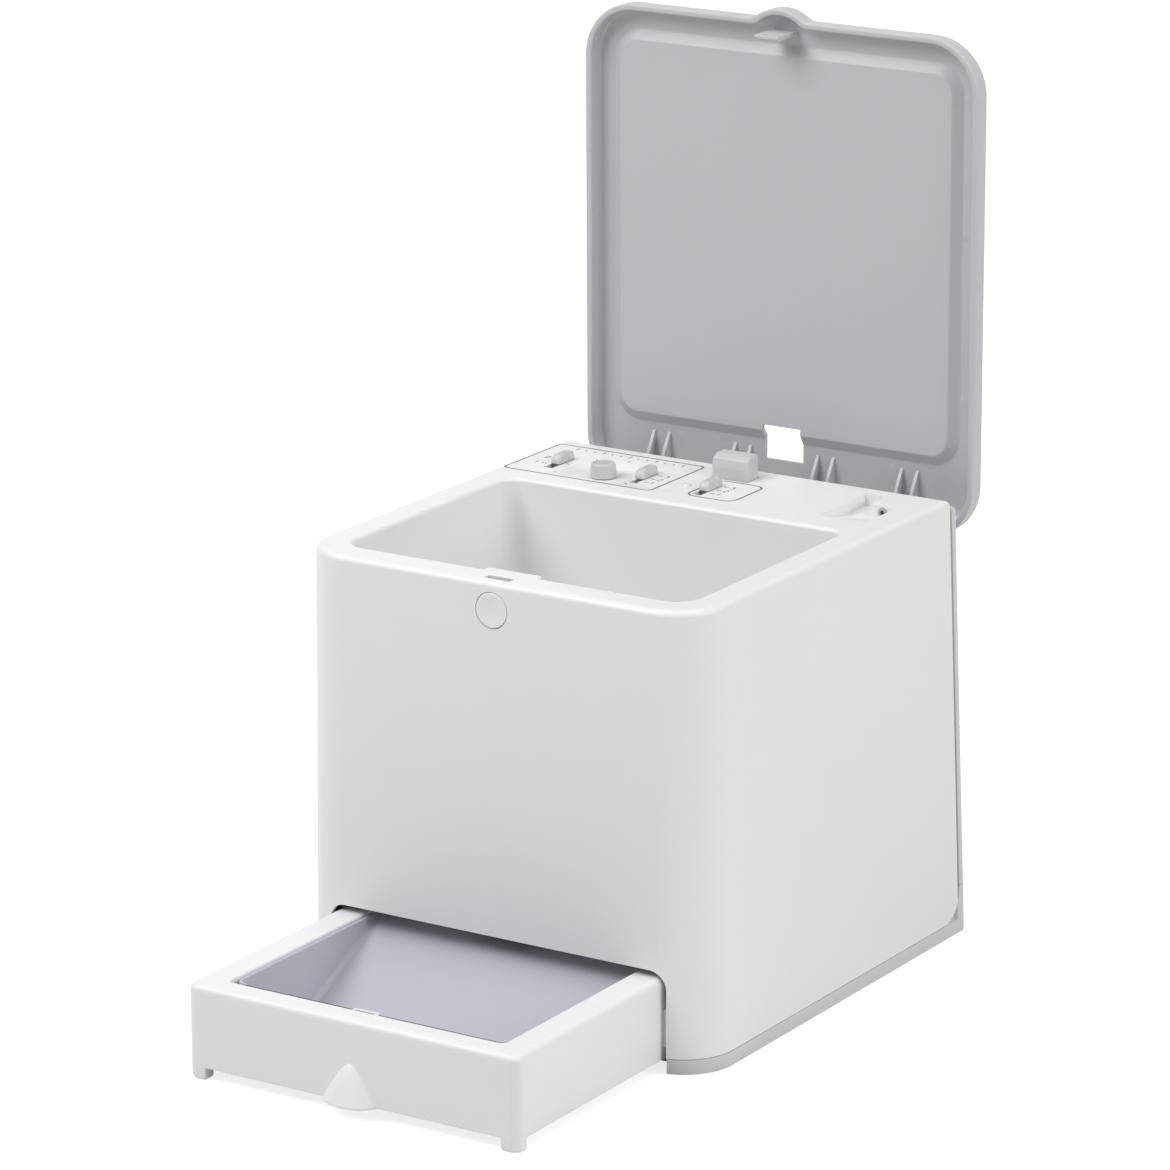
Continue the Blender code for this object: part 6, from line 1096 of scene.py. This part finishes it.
def node_points(node):
    """Corners of a CAD node's mesh, in millimetres."""
    source = frame["nodes"][node]
    return np.array([source.matrix_world @ corner.co for corner in source.data.vertices]) / MM


for node in ("hinge_pin_left", "hinge_pin_right"):
    ends = node_points(node)[:, 0]
    low, high = ends.min(), ends.max()
    profile = [(ROD_RADIUS - ROD_EASE, low), (ROD_RADIUS, low + ROD_EASE), (ROD_RADIUS, high - ROD_EASE),
               (ROD_RADIUS - ROD_EASE, high)]
    hinge_rod = make_piece(node + "_rod", turned(profile, (HINGE_Y, HINGE_Z), 36, "X"))
    dress(hinge_rod, steel, "housing", "steel", node)
softened("latch_hook", 0.2, acetal, "release", "gear_plastic")

# Return springs: coils of steel wire behind the round button and under the dispense block.
SPRING_Z = 201.4


def tube(path, radius, sides=10):
    """Round wire along a path: at each point a circle square to the path, each carried on from the one before so that
    the wire does not twist."""
    path = np.asarray(path, float)
    ahead = np.gradient(path, axis=0)
    ahead = ahead / np.linalg.norm(ahead, axis=1)[:, None]
    side = np.cross(ahead[0], (0.3, 0.5, 0.81))
    turns = np.arange(sides) * math.tau / sides
    rows = []
    for point, way in zip(path, ahead):
        side = side - way * np.dot(side, way)
        side = side / np.linalg.norm(side)
        rows.append(point + radius * (np.outer(np.cos(turns), side) + np.outer(np.sin(turns), np.cross(way, side))))
    return skin(rows)


def coil(centre, radius, low, high, turns, along="Z"):
    """Helix: the centre plus the radius times (cos t, sin t), rising evenly, with close end turns."""
    t = np.linspace(0, turns * math.tau, int(turns * 28))
    share = np.clip((t / math.tau - 0.6) / (turns - 1.2), 0, 1)
    height = low + (high - low) * share
    first, second = centre[0] + radius * np.cos(t), centre[1] + radius * np.sin(t)
    return np.column_stack([first, height, second] if along == "Y" else [first, second, height])


dispense_coil = make_piece("dispense_coil", tube(coil((0, BLOCK_Y), 5.25, 198.2, 211.1, 6), 0.3))
dress(dispense_coil, steel, "housing", "steel", "dispense_spring")
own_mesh(dispense_coil)
release_coil = make_piece("release_coil", tube(coil((0, SPRING_Z), 2.1, -103.25, -101.1, 4, "Y"), 0.25))
dress(release_coil, steel, "housing", "steel", "release_spring")
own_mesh(release_coil)


# Four D cells lie in the bay in two rows, head to tail: a steel can with a plus nub, in a dark sleeve that leaves a
# bare metal band towards the plus end.
CAN = [(13.6, 0.5), (14.0, 0.0), (15.6, 0.0), (16.2, 0.4), (16.2, 59.2), (15.4, 59.9), (13.6, 59.9), (13.2, 59.4),
       (5.4, 59.4), (5.0, 59.8), (4.9, 60.9), (4.3, 61.4)]
WRAP = [(16.2, 0.7), (16.6, 1.1), (16.6, 43.6), (16.3, 43.9), (16.3, 44.5), (16.6, 44.8), (16.6, 58.4), (16.2, 58.9)]
NUB_WIDEST = 15.0
sleeve = plastic("cell_sleeve", (0.10, 0.11, 0.14), 0.3)
for index in range(4):
    node = f"battery_cell_{index + 1}"
    points = node_points(node)
    start, end = points[:, 0].min(), points[:, 0].max()
    centre = (points[:, 1:].min(0) + points[:, 1:].max(0)) / 2
    plus_at_start = np.ptp(points[points[:, 0] < start + 0.01][:, 1]) < NUB_WIDEST
    for name, profile, finish, slot in (("can", CAN, steel, "steel"), ("wrap", WRAP, sleeve, "cell_sleeve")):
        if plus_at_start:
            shape = [(radius, end - height) for radius, height in reversed(profile)]
        else:
            shape = [(radius, start + height) for radius, height in profile]
        dress(make_piece(f"{node}_{name}", turned(shape, centre, 72, "X")), finish, "housing", slot, node)

# Contact plates and leads: sprung steel at both ends of the bay, with a leaf for each row, and two insulated leads that
# are soldered to them and run up behind the chute to the board's connector.
LEAD_RADIUS = 0.8
LEAD_ENDS = {
    "lead_minus": [(-62.7, 71.45, 32.4), (-62.7, 71.45, 60), (-62, 72, 90), (-30, 96, 110), (-2, 98, 160),
                   (6, 98, 190.5)],
    "lead_plus": [(62.7, 71.45, 32.4), (62.7, 71.45, 60), (62, 72, 90), (30, 96, 110), (10, 98, 160),
                  (9.5, 98, 190.5)],
}
black = plastic("switch_black", (0.03, 0.03, 0.032), 0.4)
red = plastic("red_lead", (0.35, 0.02, 0.015), 0.45)
for node in ("battery_contact_left", "battery_contact_right"):
    softened(node, 0.15, steel, "housing", "steel")


def bent(corners, count=60):
    """Smooth lead through corners: the corners' weighted mean, with Bernstein weights."""
    t = np.linspace(0, 1, count)[:, None]
    order = len(corners) - 1
    weights = [math.comb(order, k) * t ** k * (1 - t) ** (order - k) for k in range(order + 1)]
    return sum(weight * corner for weight, corner in zip(weights, np.array(corners, float)))


for name, finish in (("lead_minus", black), ("lead_plus", red)):
    dress(make_piece(name, tube(bent(LEAD_ENDS[name]), LEAD_RADIUS, 12)), finish, "housing", "switch_black")

# The circuit board: green glass laminate screwed to posts under the deck. A chip, a coil, a connector, a capacitor and
# small parts are soldered below it, and the switches and the dial's part sit above.
BOARD_UNDER = 196.0
CHIP = ((-30, 60, 194.2), (-18, 72, BOARD_UNDER))
SMALL_COIL = ((-8, 84, 194.6), (-2, 90, BOARD_UNDER))
CONNECTOR = ((2, 94, 190.0), (14, 102, BOARD_UNDER))
CAPACITOR, CAPACITOR_PLACE = [(3.2, 185), (3.6, 185.4), (3.6, BOARD_UNDER)], (-45, 64)
RESISTOR = np.array([(0, 60, 195.2), (3.2, 61.6, BOARD_UNDER)])
RESISTORS_AT = range(-80, -44, 6)
LEG = np.array([(0, 0, 195.4), (0.6, 1.6, BOARD_UNDER)])
LEGS_AT = [(x, y, 0) for x in -29.4 + 1.5 * np.arange(8) for y in (58.4, 72.0)]
board_green = plastic("circuit_board", (0.02, 0.13, 0.05), 0.35)
softened("control_board", 0.1, board_green, "housing", "circuit_board")
parts = [brick(*CHIP), brick(*SMALL_COIL), brick(*CONNECTOR), turned(CAPACITOR, CAPACITOR_PLACE, 32)]
parts += [brick(*(RESISTOR + (x, 0, 0))) for x in RESISTORS_AT]
dress(eased(make_piece("board_parts", *parts), 0.2), black, "housing", "switch_black")
dress(make_piece("chip_legs", *[brick(*(LEG + place)) for place in LEGS_AT]), steel, "housing", "steel")
for node in ("left_switch", "right_switch", "mode_switch", "dial_pot", "buzzer", "dispense_switch"):
    softened(node, 0.2, black, "housing", "switch_black")

# The jack socket: a grey moulded body for a small round plug. It is pressed into the recess at the deck's rear right
# and is open to the front.
socket_grey = plastic("socket_grey", (0.42, 0.42, 0.43), 0.35)
softened("jack_socket", 0.12, socket_grey, "housing", "switch_black")


# Finishes for the CAD nodes: each hidden node keeps its slot's finish, so that nothing shows bare where a fine piece
# stands for it.
finishes = {
    "white_plastic": white, "grey_plastic": grey, "dish_plastic": dish_grey, "key_plastic": key_grey,
    "gear_plastic": acetal, "steel": steel, "rubber": rubber, "circuit_board": board_green, "switch_black": black,
    "cell_sleeve": sleeve, "lens_plastic": clear,
}
for entry in frame["record"]["subparts"]:
    mesh = frame["nodes"][entry["node"]].data
    mesh.materials.clear()
    mesh.materials.append(finishes[entry["material_slot"]])


# The floor: a wide white sheet, in metres, that keeps the dispenser's soft shadow and looks white where none falls. To
# the camera, to mirrors and through clear plastic it glows a little, and its colour lights the object.
FLOOR_REACH = 6.0
FLOOR_COLOUR = (0.65, 0.65, 0.65, 1.0)
FLOOR_LIFT = 0.75
floor_mesh = bpy.data.meshes.new("floor")
floor_mesh.from_pydata([(-FLOOR_REACH, -FLOOR_REACH, 0), (FLOOR_REACH, -FLOOR_REACH, 0), (FLOOR_REACH, FLOOR_REACH, 0),
                        (-FLOOR_REACH, FLOOR_REACH, 0)], [], [(0, 1, 2, 3)])
floor = bpy.data.objects.new("floor", floor_mesh)
bpy.context.scene.collection.objects.link(floor)
sheet = bpy.data.materials.new("floor_sheet")
sheet.use_nodes = True
nodes = sheet.node_tree.nodes
link = sheet.node_tree.links.new


def seen_directly(nodes, link):
    """One where a ray comes from the camera, a mirror or clear plastic, and zero where it lights the object."""
    path = nodes.new("ShaderNodeLightPath")
    either = nodes.new("ShaderNodeMath")
    either.operation = "MAXIMUM"
    any_of = nodes.new("ShaderNodeMath")
    any_of.operation = "MAXIMUM"
    link(path.outputs["Is Camera Ray"], either.inputs[0])
    link(path.outputs["Is Glossy Ray"], either.inputs[1])
    link(either.outputs["Value"], any_of.inputs[0])
    link(path.outputs["Is Transmission Ray"], any_of.inputs[1])
    return any_of.outputs["Value"]


matt = nodes["Principled BSDF"]
matt.inputs["Base Color"].default_value = FLOOR_COLOUR
matt.inputs["Roughness"].default_value = 0.9
matt.inputs["Specular IOR Level"].default_value = 0.0
lift = nodes.new("ShaderNodeMath")
lift.operation = "MULTIPLY"
lift.inputs[1].default_value = FLOOR_LIFT
glow = nodes.new("ShaderNodeEmission")
both = nodes.new("ShaderNodeAddShader")
link(seen_directly(nodes, link), lift.inputs[0])
link(lift.outputs["Value"], glow.inputs["Strength"])
link(matt.outputs["BSDF"], both.inputs[0])
link(glow.outputs["Emission"], both.inputs[1])
link(both.outputs["Shader"], nodes["Material Output"].inputs["Surface"])
floor_mesh.materials.append(sheet)

# The studio: an even white surround, which is dimmer as light than as background, and three soft lamps above, to the
# right and to the front left.
SURROUND_LIGHT, SURROUND_SEEN = 0.36, 1.0
world = bpy.data.worlds.new("studio")
bpy.context.scene.world = world
world.use_nodes = True
nodes = world.node_tree.nodes
link = world.node_tree.links.new
strength = add_node(world.node_tree, "MapRange", To_Min=SURROUND_LIGHT, To_Max=SURROUND_SEEN)
nodes["Background"].inputs["Color"].default_value = (1.0, 1.0, 1.0, 1.0)
link(seen_directly(nodes, link), strength.inputs["Value"])
link(strength.outputs["Result"], nodes["Background"].inputs["Strength"])


def soft_lamp(name, place, aim, size, watts):
    """Area lamp of a width and height at a place, facing the point that it aims at."""
    lamp = bpy.data.lights.new(name, "AREA")
    lamp.shape = "RECTANGLE"
    lamp.size, lamp.size_y = size
    lamp.energy = watts
    holder = bpy.data.objects.new(name, lamp)
    bpy.context.scene.collection.objects.link(holder)
    back = np.array(place) - np.array(aim)
    back = back / np.linalg.norm(back)
    side = np.cross((0.0, 0.0, 1.0), back)
    side = side / np.linalg.norm(side)
    axes = Matrix(np.column_stack([side, np.cross(back, side), back]).tolist()).to_4x4()
    holder.matrix_world = Matrix.Translation(place) @ axes


soft_lamp("overhead_lamp", place=(0.3, -0.2, 2.2), aim=(0.0, 0.0, 0.1), size=(1.6, 1.6), watts=10.0)
soft_lamp("right_lamp", place=(2.3, -0.1, 1.1), aim=(0.0, 0.0, 0.15), size=(1.2, 1.4), watts=23.0)
soft_lamp("key_lamp", place=(-0.9, -1.2, 1.8), aim=(0.0, 0.0, 0.15), size=(1.2, 1.2), watts=27.0)

bpy.context.scene.view_settings.view_transform = "Standard"
